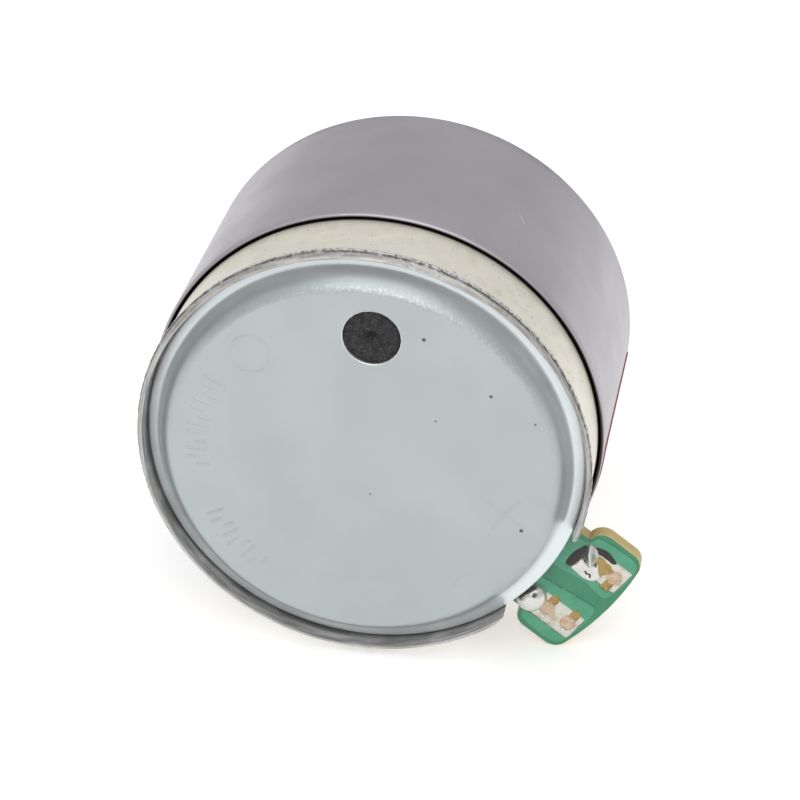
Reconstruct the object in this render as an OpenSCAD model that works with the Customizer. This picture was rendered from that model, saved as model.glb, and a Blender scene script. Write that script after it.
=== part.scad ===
// Governed brushed DC motor, lying on its side.
// Origin at the centre of the front mounting face; +Y is the motor axis, towards
// the shaft end; +Z is up. Every module is drawn with the motor axis along its own
// +Z and laid down by lay(). Angles around the axis are seen from the rear cover,
// anticlockwise, with 0 at the right (+X).

/* [Can] */
// Length of the can, from the mounting face to the rim of its mouth
can_len = 24.6; // [24.6:0.1:26]
// Diameter over the rolled rim of the mouth
rim_d = 36; // [36:0.1:36.4]
// Diameter of the bare band behind the shield sleeve
band_d = 35.5; // [35.3:0.1:35.6]
// Inside diameter of the can
bore_d = 34; // [33.9:0.1:34]
// Thickness of the front wall
front_wall = 0.8; // [0.6:0.1:1]
// Diameter of the bearing boss on the front wall
boss_d = 7; // [6.6:0.2:8]
// Height of the bearing boss above the mounting face
boss_len = 1.8; // [1.4:0.1:2.2]
// Pitch circle of the mounting holes
mount_pcd = 26; // [25:0.5:27]
// Number of mounting holes
mount_count = 3; // [2:1:4]
// Core diameter of the tapped mounting holes
mount_hole_d = 2.2; // [2:0.1:2.4]

/* [Shield sleeve and label] */
// Outside diameter of the shield sleeve
sleeve_d = 36.5; // [36.5:0.1:36.8]
// Wall of the shield sleeve
sleeve_wall = 0.3; // [0.25:0.05:0.3]
// Length of the shield sleeve
sleeve_len = 18.6; // [17:0.1:18.8]
// Length of the blank rating label along the motor axis
label_len = 17; // [8:0.5:17]
// Thickness of the blank rating label
label_t = 0.08; // [0.06:0.01:0.12]

/* [Rear cover] */
// Outside diameter of the cover
cover_d = 34.6; // [34.4:0.1:34.8]
// Diameter of the raised flat of the cover
cover_flat_d = 29.6; // [28:0.2:30]
// Height of the raised flat above the rim of the can
cover_rise = 1; // [0.8:0.1:1.1]
// Sheet thickness of the cover
cover_t = 0.5; // [0.4:0.05:0.6]
// Diameter of the speed adjusting hole
adjust_d = 4.5; // [4:0.1:5]
// Distance of the speed adjusting hole from the motor axis
adjust_r = 11.22; // [11:0.1:11.4]
// Angle of the speed adjusting hole around the motor axis
adjust_angle = 84.8; // [80:1:90]

/* [Circuit board] */
// Angle of the terminal tab around the motor axis
tab_angle = -37; // [-38:0.5:-36]
// Half width of the terminal tab
tab_half_w = 5.75; // [5.5:0.05:6]
// Distance of the tab's outer edge from the motor axis
tab_reach = 24; // [23.6:0.1:24]
// Thickness of the board
board_t = 1.2; // [1:0.1:1.2]

/* [Rotor] */
// Diameter of the output shaft
shaft_d = 2; // [2:0.1:2.3]
// Length of the shaft in front of the boss
shaft_out = 8.7; // [6:0.1:14]
// Diameter of the armature
core_d = 23.6; // [22:0.2:23.8]
// Length of the lamination stack
stack_len = 7.5; // [6:0.5:7.5]
// Diameter over the commutator segments
commutator_d = 5.2; // [5:0.1:5.6]
// Radial clearance of the shaft in its bearings
running_gap = 0.03; // [0.02:0.01:0.06]

/* [Hidden] */
$fn = 96;
eps = 0.01;

// Stations along the motor axis are counted from the rim of the can's mouth,
// positive towards the shaft; from_rim() turns them into the drawing's own Z.
function from_rim(station) = station - can_len;

rim_r = rim_d / 2;
band_r = band_d / 2;
bore_r = bore_d / 2;
sleeve_r = sleeve_d / 2;
seat_r = sleeve_r - sleeve_wall;
sleeve_start = 5.6;
seat_start = 6.2;
front_round = 1.2;
boss_r = boss_d / 2;
boss_end = can_len + boss_len;
shaft_r = shaft_d / 2;
bush_bore_r = shaft_r + running_gap;
front_bush_r = 2.6;
rear_bush_r = 3;

// Mouth of the can and the cover that sits in it
mouth_r = cover_d / 2 + 0.15;
lip_top = -0.5;
ledge = 1.5;
cover_r = cover_d / 2;
flat_r = cover_flat_d / 2;
flat_top = -cover_rise;

// Board and bracket
board_top = 3.5;
board_end = board_top + board_t;
board_r = 16.6;
layer_t = 0.06;
part_face = board_top - layer_t;
hub_r = 4.2;
hub_top = 3.2;
bracket_end = board_end + 1.4;
slot_end = board_end + 0.2;
slot_half_w = tab_half_w - 0.05;
neck_half_w = 4.45;
tab_round = 1.3;
tab_inner_u = 20;
wire_hole_r = 0.6;
wire_hole_u = [20.3, 22.45];
wire_hole_v = 3;

// Rotor stations
shaft_start = 3.8;
rear_bush_start = 4.3;
rear_bush_end = 6.9;
comm_start = 7.3;
comm_r = commutator_d / 2;
comm_wall = 0.5;
segment_start = comm_start + 0.2;
segment_end = 10.4;
varistor_start = 10.5;
varistor_end = 11.3;
stack_start = 12.9;
stack_end = stack_start + stack_len;
insulator_t = 0.5;
coil_over = 0.8;
front_bush_start = can_len - 2.2;
brush_plane = 8.9;
brush_w = 1.6;
leaf_t = 0.2;
brush_gap = 0.05;

// Colours
zinc = [0.73, 0.76, 0.76];
galvanised = [0.79, 0.78, 0.72];
sleeve_grey = [0.68, 0.66, 0.70];
bronze = [0.72, 0.52, 0.28];
copper = [0.78, 0.42, 0.22];
board_tan = [0.80, 0.72, 0.48];
mask_green = [0.22, 0.60, 0.44];
solder = [0.84, 0.84, 0.82];
black = [0.10, 0.10, 0.11];

// Lays a shape drawn along +Z down along +Y, keeping +X to the right.
module lay() {
    rotate([-90, 0, 0]) children();
}

// Puts a shape at a station along the motor axis.
module station(s) {
    translate([0, 0, from_rim(s)]) children();
}

// Turns a shape drawn on the +X side to an angle around the motor axis.
module around(angle) {
    rotate([0, 0, -angle]) children();
}

// A plain ring between two stations.
module ring(from, to, outer_r, inner_r) {
    station(from) linear_extrude(to - from) difference() {
        circle(outer_r);
        circle(inner_r);
    }
}

// A disc between two stations.
module disc(from, to, r) {
    station(from) cylinder(r = r, h = to - from);
}

// A box whose near face is centred on x = u, y = v, between two stations.
module chip(from, to, size_u, size_v, u = 0, v = 0) {
    station(from) translate([u - size_u / 2, v - size_v / 2, 0])
        cube([size_u, size_v, to - from]);
}

// Points of a quarter arc, for revolved outlines: [radius, station] pairs.
function arc(cr, cs, r, a0, a1, n = 6) =
    [for (i = [0 : n]) let (a = a0 + (a1 - a0) * i / n) [cr + r * cos(a), cs + r * sin(a)]];

// Revolves an outline given as [radius, station] pairs.
module revolve(points) {
    station(0) rotate_extrude() polygon(points);
}

// ---- casing ----

module can_outline() {
    revolve(concat(
        [[bore_r, ledge], [mouth_r, ledge], [mouth_r, lip_top + 0.1], [mouth_r + 0.1, lip_top],
         [rim_r - 0.2, lip_top + 0.22], [rim_r, 0], [rim_r, 0.3], [band_r, 0.6],
         [band_r, seat_start - 0.2], [seat_r, seat_start]],
        arc(seat_r - front_round, can_len - front_round, front_round, 0, 90),
        [[boss_r, can_len], [boss_r, boss_end - 0.2], [boss_r - 0.2, boss_end],
         [front_bush_r, boss_end], [front_bush_r, can_len - front_wall]],
        arc(bore_r - 0.5, can_len - front_wall - 0.5, 0.5, 90, 0)
    ));
}

module mount_collars() {
    for (i = [0 : mount_count - 1])
        around(90 + i * 360 / mount_count) translate([mount_pcd / 2, 0, 0])
            station(can_len - front_wall - 1) cylinder(d = mount_hole_d + 1.4, h = 1 + eps);
}

module motor_can() {
    color(galvanised) lay() difference() {
        union() {
            can_outline();
            mount_collars();
        }
        for (i = [0 : mount_count - 1])
            around(90 + i * 360 / mount_count) translate([mount_pcd / 2, 0, 0])
                station(can_len - 4) cylinder(d = mount_hole_d, h = 5);
        around(tab_angle) station(-2) translate([bore_r - 2, -slot_half_w, 0])
            cube([4, 2 * slot_half_w, slot_end + 2]);
    }
}

module shield_sleeve() {
    seam_w = 0.3;
    seam_angle = -120;
    color(sleeve_grey) lay() difference() {
        ring(sleeve_start, sleeve_start + sleeve_len, sleeve_r, seat_r);
        around(seam_angle) station(sleeve_start - 1) translate([seat_r - 1, -seam_w / 2, 0])
            cube([2, seam_w, sleeve_len + 2]);
    }
}

module rating_label() {
    upper_angle = -4.2;
    span = 68;
    margin = (sleeve_len - label_len) * 0.75;
    color("white") lay() station(sleeve_start + margin)
        rotate([0, 0, -upper_angle]) rotate_extrude(angle = span)
            translate([sleeve_r, 0]) square([label_t, label_len]);
}

// ---- rear cover and its plug ----

module cover_outline() {
    t = cover_t;
    revolve(concat(
        [[0, flat_top]],
        arc(flat_r - 0.3, flat_top + 0.6, 0.6, -90, -40, 4),
        [[flat_r + 1.1, 0.2], [flat_r + 1.55, 0.65], [cover_r - 0.5, 0.8]],
        arc(cover_r - 0.4, 1.2, 0.4, -75, 0, 5),
        [[cover_r, ledge], [cover_r - 0.5, ledge], [cover_r - 0.7, 0.8 + t],
         [flat_r + 1.3, 0.65 + t], [flat_r + 0.6, 0.2 + t], [flat_r - 0.25, flat_top + 0.25 + t],
         [flat_r - 0.6, flat_top + t], [0, flat_top + t]]
    ));
}

// Polarity marks and plain ornaments pressed up from the cover.
module cover_marks() {
    mark_h = 0.1;
    mark_w = 0.32;
    mark_len = 3.5;
    minus_len = 2;
    plus_at = [11.93, -16.2];
    minus_at = [12.55, -51.9];
    dimple_at = [12.2, 133.5];
    rib_r = [12.1, 13.7];
    rib_step = 3.2;
    rib_groups = [[151, 12], [206, 9]];
    top = flat_top - mark_h;
    around(plus_at[1]) translate([plus_at[0], 0, 0]) rotate([0, 0, plus_at[1] - tab_angle]) {
        chip(top, flat_top + eps, mark_len, mark_w);
        chip(top, flat_top + eps, mark_w, mark_len);
    }
    around(minus_at[1]) translate([minus_at[0], 0, 0]) rotate([0, 0, minus_at[1] - tab_angle])
        chip(top, flat_top + eps, mark_w, minus_len);
    around(dimple_at[1]) translate([dimple_at[0], 0, 0])
        ring(top, flat_top + eps, 1.72, 1.42);
    for (group = rib_groups, i = [0 : group[1] - 1]) {
        inner = rib_r[0] + (i % 3 == 1 ? 0.7 : 0);
        outer = rib_r[1] - (i % 3 == 2 ? 0.7 : 0);
        around(group[0] + i * rib_step)
            chip(top, flat_top + eps, outer - inner, mark_w, (inner + outer) / 2);
    }
}

module rear_cover() {
    color(zinc) lay() difference() {
        union() {
            cover_outline();
            cover_marks();
        }
        around(adjust_angle) translate([adjust_r, 0, 0]) station(-2) cylinder(d = adjust_d, h = 4);
    }
}

module adjust_plug() {
    r = adjust_d / 2 - 0.05;
    top = flat_top + 0.15;
    bottom = flat_top + 1.6;
    color(black) lay() around(adjust_angle) translate([adjust_r, 0, 0])
        revolve([[0, top + 0.35], [0.25, top + 0.12], [0.7, top + 0.02], [r - 0.15, top],
                 [r, top + 0.12], [r, bottom - 0.2], [r - 0.2, bottom], [0, bottom]]);
}

// ---- bearings, bracket and magnet ----

module front_bearing() {
    color(bronze) lay() ring(front_bush_start, boss_end - 0.2, front_bush_r, bush_bore_r);
}

module rear_bearing() {
    color(bronze) lay() ring(rear_bush_start, rear_bush_end, rear_bush_r, bush_bore_r);
}

post_x = comm_r + brush_gap + 0.4 + leaf_t / 2;
post_y = 8;

module brush_post() {
    post_w = 3;
    post_t = 2.2;
    translate([post_x, -post_y, 0]) chip(bracket_end - eps, 10.3, post_t, post_w);
}

module leaf_slot() {
    slot_t = leaf_t + 0.02;
    translate([post_x, -post_y, 0]) {
        chip(brush_plane - brush_w / 2 - 0.01, 11, slot_t, 4);
        translate([0, -1, 0]) chip(board_end - 1, 11, slot_t, 1.42);
    }
}

module end_bracket() {
    window_r = [7.2, 14.4];
    color([0.36, 0.22, 0.14]) lay() difference() {
        union() {
            disc(board_end, bracket_end, bore_r - 0.05);
            disc(hub_top, 7, hub_r);
            for (side = [0, 180]) around(side) brush_post();
        }
        disc(rear_bush_start - 0.1, 8, rear_bush_r);
        disc(shaft_start - 0.25, rear_bush_start, shaft_r + 0.4);
        for (side = [0, 180]) around(side) leaf_slot();
        for (side = [45, 135, 225, 315]) around(side) translate([10.6, 0, 0])
            disc(board_end - 1, bracket_end + 1, (window_r[1] - window_r[0]) / 2 - 1);
    }
}

module ring_magnet() {
    air_gap = 0.5;
    color([0.24, 0.24, 0.25]) lay()
        ring(8.8, 21.8, bore_r - 0.05, core_d / 2 + air_gap);
}

// ---- brush gear ----

// A leaf spring that runs from its post past the commutator, with a leg to the board.
module brush_arm() {
    leaf_from = brush_plane - brush_w / 2;
    leaf_to = brush_plane + brush_w / 2;
    arm_end = 1.6;
    leg_w = 1.4;
    chip(leaf_from, leaf_to, leaf_t, post_y + 1.7 + arm_end, post_x, (arm_end - post_y - 1.7) / 2);
    chip(board_end, leaf_from + eps, leaf_t, leg_w, post_x, -post_y - 1);
}

module brush_tip() {
    tip_t = post_x - leaf_t / 2 - comm_r - brush_gap;
    chip(brush_plane - 0.6, brush_plane + 0.6, tip_t, 2, comm_r + brush_gap + tip_t / 2, 0);
}

module brush_arm_positive() {
    color(bronze) lay() brush_arm();
}

module brush_arm_negative() {
    color(bronze) lay() around(180) brush_arm();
}

module brush_tip_positive() {
    color(black) lay() brush_tip();
}

module brush_tip_negative() {
    color(black) lay() around(180) brush_tip();
}

// ---- circuit board ----

// Outline of the terminal tab in its own plane: x runs outwards, y across.
module tab_outline(inset = 0) {
    half_w = tab_half_w - inset;
    reach = tab_reach - inset;
    corner_v = tab_half_w - tab_round;
    corner_u = sqrt(pow(tab_reach - tab_round, 2) - pow(corner_v, 2));
    spread = corner_v / corner_u;
    far = 30;
    r = tab_round - inset;
    intersection() {
        circle(reach);
        polygon([[0, 0], [far, -far * spread], [far, far * spread]]);
    }
    for (side = [-1, 1]) {
        translate([corner_u, side * corner_v]) circle(r);
        translate([tab_inner_u, side * corner_v]) circle(r);
    }
    translate([tab_inner_u, -half_w]) square([corner_u - tab_inner_u, 2 * half_w]);
    translate([tab_inner_u - r, -corner_v]) square([corner_u - tab_inner_u + r, 2 * corner_v]);
    translate([12, -neck_half_w + inset]) square([tab_inner_u - 12, 2 * (neck_half_w - inset)]);
}

module board_outline(inset = 0) {
    difference() {
        union() {
            circle(board_r - inset);
            rotate(-tab_angle) tab_outline(inset);
        }
        circle(hub_r + 0.2 + inset);
    }
}

module wire_holes(r) {
    rotate(-tab_angle) for (u = wire_hole_u, side = [-1, 1])
        translate([u, side * wire_hole_v]) circle(r);
}

// The two bare terminal areas of the tab.
module pad_windows() {
    rotate(-tab_angle) for (side = [-1, 1]) {
        translate([18.9, side * 2.95 - 1.3]) square([4.3, 2.6]);
    }
}

module governor_board() {
    color(board_tan) lay() station(board_top) linear_extrude(board_t) difference() {
        board_outline();
        wire_holes(wire_hole_r);
    }
}

module solder_mask() {
    color(mask_green) lay() station(board_top - layer_t) linear_extrude(layer_t) difference() {
        board_outline(0.05);
        pad_windows();
    }
}

module tinned_pads() {
    color(solder) lay() station(board_top - layer_t) linear_extrude(layer_t) difference() {
        pad_windows();
        wire_holes(wire_hole_r + 0.2);
    }
}

// A dome of solder standing on the board at u outwards, v across.
module solder_dome(u, v, r, h) {
    around(tab_angle) translate([u, -v, 0])
        revolve([[0, part_face], [r, part_face], [r * 0.95, part_face - h * 0.3],
                 [r * 0.7, part_face - h * 0.7], [r * 0.35, part_face - h * 0.95],
                 [0, part_face - h]]);
}

module solder_joint_positive() {
    color(solder) lay() union() {
        solder_dome(19.9, 3, 1.3, 1.5);
        around(tab_angle) translate([wire_hole_u[0], -wire_hole_v, 0])
            disc(part_face - 0.2, board_end + 0.3, wire_hole_r - 0.05);
    }
}

module solder_joint_negative() {
    color(solder) lay() solder_dome(18.3, -2.95, 1.35, 1.1);
}

// ---- governor circuit ----

module at_trimmer() {
    around(adjust_angle) translate([adjust_r, 0, 0]) children();
}

wiper_r = 2.1;
trimmer_top = 2;

module trimmer_base() {
    base_w = 6.2;
    color([0.88, 0.86, 0.80]) lay() at_trimmer() difference() {
        chip(trimmer_top, part_face, base_w, base_w);
        disc(trimmer_top - 1, trimmer_top + 0.9, wiper_r + 0.05);
    }
}

module trimmer_wiper() {
    slot_w = 0.6;
    slot_len = 2.8;
    top = trimmer_top - 0.5;
    color([0.85, 0.82, 0.75]) lay() at_trimmer() difference() {
        disc(top, trimmer_top + 0.85, wiper_r);
        chip(top - 1, top + 0.6, slot_len, slot_w);
        chip(top - 1, top + 0.6, slot_w, slot_len);
    }
}

ic_at = [-8, 2];
ic_size = [3.9, 4.9];
ic_pitch = 1.27;

module governor_ic() {
    color(black) lay() translate([ic_at[0], ic_at[1], 0])
        chip(part_face - 1.6, part_face - 0.1, ic_size[0], ic_size[1]);
}

module ic_leads() {
    lead_w = 0.4;
    lead_out = 1;
    rise = 0.8;
    lead_t = 0.2;
    color(solder) lay() translate([ic_at[0], ic_at[1], 0])
        for (side = [-1, 1], i = [-1.5 : 1.5]) translate([0, i * ic_pitch, 0]) {
            chip(part_face - rise - lead_t, part_face - rise, 0.5, lead_w,
                 side * (ic_size[0] / 2 + 0.25));
            chip(part_face - rise - lead_t, part_face, lead_t, lead_w,
                 side * (ic_size[0] / 2 + 0.4));
            chip(part_face - lead_t, part_face, lead_out - 0.3, lead_w,
                 side * (ic_size[0] / 2 + 0.65));
        }
}

module tantalum_capacitor() {
    color([0.85, 0.65, 0.25]) lay() translate([7.5, 8, 0]) chip(part_face - 1.9, part_face, 3.5, 2.8);
}

// A row of chip parts, each at its own place on the board.
module chips(places, size, h) {
    for (p = places) translate([p[0], p[1], 0]) rotate(p[2])
        chip(part_face - h, part_face, size[0], size[1]);
}

module chip_resistors() {
    color(black) lay()
        chips([[-3, 8, 0], [-3, 10.4, 0], [3, 8.6, 90], [9.5, 2, 90], [12, 2, 90]], [2, 1.25], 0.5);
}

module chip_capacitors() {
    color([0.62, 0.50, 0.38]) lay()
        chips([[-11.5, -5, 30], [8.5, -3.5, 0], [-6.5, -6.5, 0]], [2, 1.25], 0.9);
}

// ---- rotor ----

// The groove in front of the boss is a guess, and the photo doesn't show it. It is sized so
// that the mount check can tell the shaft's free end from its end in the bush.
module shaft() {
    tip = boss_end + shaft_out;
    relief = [boss_end - 0.1, boss_end + 0.55];
    relief_r = shaft_r - 0.2;
    bevel = 0.2;
    color([0.80, 0.80, 0.80]) lay()
        revolve([[0, shaft_start], [shaft_r - bevel, shaft_start], [shaft_r, shaft_start + bevel],
                 [shaft_r, relief[0]], [relief_r, relief[0]], [relief_r, relief[1]],
                 [shaft_r, relief[1]], [shaft_r, tip - bevel], [shaft_r - bevel, tip], [0, tip]]);
}

pole_count = 3;
tooth_w = 3.4;
core_hub_r = 3.6;
shoe_in_r = core_d / 2 - 1.9;
shoe_half_angle = 50;

// One lamination: a hub, three teeth and their pole shoes.
module lamination() {
    far = core_d;
    difference() {
        union() {
            circle(core_hub_r);
            for (k = [0 : pole_count - 1]) rotate(90 + k * 360 / pole_count) {
                translate([0, -tooth_w / 2]) square([shoe_in_r + 0.5, tooth_w]);
                difference() {
                    intersection() {
                        circle(core_d / 2);
                        polygon([[0, 0], [far * cos(shoe_half_angle), -far * sin(shoe_half_angle)],
                                 [2 * far, 0],
                                 [far * cos(shoe_half_angle), far * sin(shoe_half_angle)]]);
                    }
                    circle(shoe_in_r);
                }
            }
        }
        circle(shaft_r);
    }
}

module armature_core() {
    color([0.55, 0.55, 0.56]) lay() station(stack_start) linear_extrude(stack_len) lamination();
}

module insulator() {
    linear_extrude(insulator_t) difference() {
        intersection() {
            lamination();
            circle(core_d / 2 - 0.3);
        }
        circle(shaft_r);
    }
}

module core_insulator_front() {
    color([0.20, 0.45, 0.28]) lay() station(stack_end) insulator();
}

module core_insulator_rear() {
    color([0.20, 0.45, 0.28]) lay() station(stack_start - insulator_t) insulator();
}

module rounded_rect(w, h, r) {
    square([w, h - 2 * r], center = true);
    square([w - 2 * r, h], center = true);
    for (x = [-1, 1], y = [-1, 1]) translate([x * (w / 2 - r), y * (h / 2 - r)]) circle(r);
}

// A winding around one tooth, as one solid of its outer shape.
module coil(k) {
    inner_r = 4.3;
    outer_r = 8.8;
    side = 2.5;
    hole_h = stack_len + 2 * insulator_t;
    mid = (stack_start + stack_end) / 2;
    color(copper) lay() rotate(90 + k * 360 / pole_count) station(mid)
        translate([inner_r, 0, 0]) rotate([90, 0, 90]) linear_extrude(outer_r - inner_r)
            difference() {
                rounded_rect(tooth_w + 2 * side, hole_h + 2 * coil_over, 1.4);
                square([tooth_w, hole_h], center = true);
            }
}

module coil_a() { coil(0); }
module coil_b() { coil(1); }
module coil_c() { coil(2); }

module commutator_hub() {
    color(black) lay() difference() {
        union() {
            disc(comm_start, varistor_start + eps, comm_r - comm_wall);
            disc(varistor_start, varistor_end, comm_r);
        }
        station(comm_start - 1) cylinder(r = shaft_r, h = varistor_end - comm_start + 2);
    }
}

// Three copper segments on the hub, each with a riser tag for its coil ends.
module commutator_segments() {
    cut = 0.3;
    tag_reach = 4.3;
    tag_w = 1.2;
    color(copper) lay() {
        difference() {
            ring(segment_start, segment_end, comm_r, comm_r - comm_wall);
            for (k = [0 : pole_count - 1]) rotate(30 + k * 360 / pole_count)
                station(segment_start - 1) translate([0, -cut / 2, 0])
                    cube([comm_r + 1, cut, segment_end - segment_start + 2]);
        }
        for (k = [0 : pole_count - 1]) rotate(90 + k * 360 / pole_count)
            chip(segment_end - 0.3, segment_end, tag_reach - comm_r + 0.2, tag_w,
                 (tag_reach + comm_r - 0.2) / 2);
    }
}

module varistor_ring() {
    color([0.40, 0.36, 0.34]) lay() ring(varistor_start, varistor_end, 5, comm_r);
}

module thrust_washer_front() {
    color("white") lay() ring(front_bush_start - 0.35, front_bush_start - 0.1, 2.1, shaft_r);
}

module thrust_washer_rear() {
    color("white") lay() ring(rear_bush_end + 0.1, comm_start, 1.9, shaft_r);
}

motor_can();
shield_sleeve();
rating_label();
rear_cover();
adjust_plug();
front_bearing();
rear_bearing();
end_bracket();
ring_magnet();
brush_arm_positive();
brush_arm_negative();
brush_tip_positive();
brush_tip_negative();
governor_board();
solder_mask();
tinned_pads();
solder_joint_positive();
solder_joint_negative();
trimmer_base();
trimmer_wiper();
governor_ic();
ic_leads();
tantalum_capacitor();
chip_resistors();
chip_capacitors();
shaft();
armature_core();
core_insulator_front();
core_insulator_rear();
coil_a();
coil_b();
coil_c();
commutator_hub();
commutator_segments();
varistor_ring();
thrust_washer_front();
thrust_washer_rear();
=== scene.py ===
"""Looks of a governed brushed DC motor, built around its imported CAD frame.

Lengths are in millimetres unless a name says otherwise; piece() turns them into metres.
Angles are in degrees around the motor axis, seen from the rear cover, anticlockwise from +X.
A station is a distance along the axis, from the rim of the can's mouth towards the shaft.
The board's tab has its own axes: u runs outwards and v across, anticlockwise.
"""

import math
import random

import bmesh
import bpy
import numpy as np
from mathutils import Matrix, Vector, noise
from mathutils.geometry import delaunay_2d_cdt


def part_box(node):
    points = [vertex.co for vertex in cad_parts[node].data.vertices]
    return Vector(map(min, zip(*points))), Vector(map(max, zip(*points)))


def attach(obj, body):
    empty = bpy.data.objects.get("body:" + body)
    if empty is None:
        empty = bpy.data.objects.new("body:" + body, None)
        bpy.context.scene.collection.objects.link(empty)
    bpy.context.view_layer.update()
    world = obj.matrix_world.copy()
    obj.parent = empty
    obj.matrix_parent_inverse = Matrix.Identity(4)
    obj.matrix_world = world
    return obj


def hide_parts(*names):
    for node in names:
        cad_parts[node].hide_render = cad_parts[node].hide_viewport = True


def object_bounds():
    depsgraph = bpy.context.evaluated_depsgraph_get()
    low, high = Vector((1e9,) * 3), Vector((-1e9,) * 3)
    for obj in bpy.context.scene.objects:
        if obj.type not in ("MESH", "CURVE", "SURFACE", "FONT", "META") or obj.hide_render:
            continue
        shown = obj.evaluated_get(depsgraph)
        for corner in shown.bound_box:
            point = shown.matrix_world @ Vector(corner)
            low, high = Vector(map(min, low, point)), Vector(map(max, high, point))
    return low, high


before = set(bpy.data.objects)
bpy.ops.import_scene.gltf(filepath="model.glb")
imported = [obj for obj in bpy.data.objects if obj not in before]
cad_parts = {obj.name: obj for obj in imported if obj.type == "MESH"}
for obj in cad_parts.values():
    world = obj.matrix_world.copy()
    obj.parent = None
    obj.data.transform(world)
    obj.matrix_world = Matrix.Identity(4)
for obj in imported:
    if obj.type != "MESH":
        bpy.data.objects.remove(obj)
cad_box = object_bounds()

MM = 0.001


# ---- the frame, in millimetres ----

def low(node):
    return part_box(node)[0] / MM


def high(node):
    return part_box(node)[1] / MM


def middle(node):
    return (low(node) + high(node)) / 2


BOARD_TOP = 3.5
RIM_Y = low("governor_board").y - BOARD_TOP


def station_of(y):
    return y - RIM_Y


RIM_R = high("motor_can").x
SLEEVE_R = high("shield_sleeve").z
SLEEVE_WALL = 0.3
SLEEVE_START = station_of(low("shield_sleeve").y)
SLEEVE_END = station_of(high("shield_sleeve").y)
COVER_R = high("rear_cover").x
MARK_H = 0.1
FLAT = station_of(low("rear_cover").y) + MARK_H
COVER_T = 0.5
FRONT = -RIM_Y
BOSS_END = station_of(high("motor_can").y)
BOARD_END = station_of(high("governor_board").y)
HOLE = middle("adjust_plug")
PLUG_R = (high("adjust_plug").x - low("adjust_plug").x) / 2
HOLE_R = PLUG_R + 0.05
PLUG_TOP = station_of(low("adjust_plug").y)
PLUG_END = station_of(high("adjust_plug").y)
PART_FACE = station_of(low("solder_mask").y)
TAB_ANGLE = -37
WIRE_HOLE_R = 0.6
WIRE_HOLES = [(u, side * 3.0) for u in (20.3, 22.45) for side in (-1, 1)]
FLOOR_Z = cad_box[0].z / MM


# ---- places ----

def polar(r, angle):
    a = math.radians(angle)
    return r * math.cos(a), r * math.sin(a)


def on_tab(u, v):
    """The tab's own axes to X and Z."""
    c, s = polar(1, TAB_ANGLE)
    return u * c - v * s, u * s + v * c


def tab_axes(x, z):
    """X and Z to the tab's own axes."""
    c, s = polar(1, TAB_ANGLE)
    return x * c + z * s, z * c - x * s


def arc(cx, cy, r, a0, a1, n):
    steps = [a0 + (a1 - a0) * i / n for i in range(n + 1)]
    return [(cx + polar(r, a)[0], cy + polar(r, a)[1]) for a in steps]


def circle(cx, cy, r, n):
    return arc(cx, cy, r, 0, 360, n)[:-1]


def grid(x0, x1, y0, y1, step):
    """Points of a square grid over a rectangle."""
    columns = int((x1 - x0) / step) + 1
    rows = int((y1 - y0) / step) + 1
    return [(x0 + i * step, y0 + j * step) for i in range(columns) for j in range(rows)]


def smooth(t):
    t = np.clip(t, 0, 1)
    return t * t * (3 - 2 * t)


def blended_min(a, b, reach):
    """The lower of two heights, with a fillet where they cross."""
    near = np.clip(1 - np.abs(a - b) / reach, 0, 1)
    return np.minimum(a, b) - near * near * reach / 4


def bell(distance, width):
    return np.exp(-(distance / width) ** 2)


def to_segment(x, y, a, b):
    """Distance of points from the stretch between a and b."""
    dx, dy = b[0] - a[0], b[1] - a[1]
    t = np.clip(((x - a[0]) * dx + (y - a[1]) * dy) / (dx * dx + dy * dy), 0, 1)
    return np.hypot(x - a[0] - t * dx, y - a[1] - t * dy)


def to_path(x, y, points):
    return np.min([to_segment(x, y, a, b) for a, b in zip(points, points[1:])], axis=0)


def within(x, y, loop):
    """Which points lie inside a closed outline."""
    inside = np.zeros(len(x), bool)
    for (x0, y0), (x1, y1) in zip(loop, loop[1:] + loop[:1]):
        if y0 != y1:
            inside ^= ((y0 > y) != (y1 > y)) & (x < (x1 - x0) * (y - y0) / (y1 - y0) + x0)
    return inside


def depth_in(x, y, loop):
    """Distance inside a closed outline, negative outside it."""
    away = to_path(x, y, loop + loop[:1])
    return np.where(within(x, y, loop), away, -away)


def grain(x, y, z, size, octaves=2):
    """Smooth noise about 0, one value for each point."""
    points = zip(np.ravel(x) / size, np.ravel(y) / size, np.ravel(z) / size)
    return np.array([noise.fractal(Vector(p), 0.8, 2.0, octaves) for p in points])


# ---- meshes ----

def piece(name, points, faces, sharp=35):
    """A closed mesh from points in millimetres."""
    mesh = bpy.data.meshes.new(name)
    mesh.from_pydata((np.array(points, float) * MM).tolist(), [], faces)
    made = bpy.data.objects.new(name, mesh)
    bpy.context.scene.collection.objects.link(made)
    tidy(made, sharp)
    return made


def tidy(obj, sharp=35):
    """Outward normals, with edges kept crisp where the surface turns by more than sharp degrees."""
    work = bmesh.new()
    work.from_mesh(obj.data)
    bmesh.ops.recalc_face_normals(work, faces=work.faces)
    work.to_mesh(obj.data)
    work.free()
    obj.data.shade_smooth()
    obj.data.set_sharp_from_angle(angle=math.radians(sharp))


def combine(obj, other, operation):
    """Unites with, or cuts away, another mesh, which is used up."""
    step = obj.modifiers.new("combine", "BOOLEAN")
    step.operation = operation
    step.solver = "EXACT"
    step.object = other
    bpy.context.view_layer.update()
    result = bpy.data.meshes.new_from_object(obj.evaluated_get(bpy.context.evaluated_depsgraph_get()))
    obj.modifiers.clear()
    obj.data = result
    bpy.data.objects.remove(other)
    tidy(obj)


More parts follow.
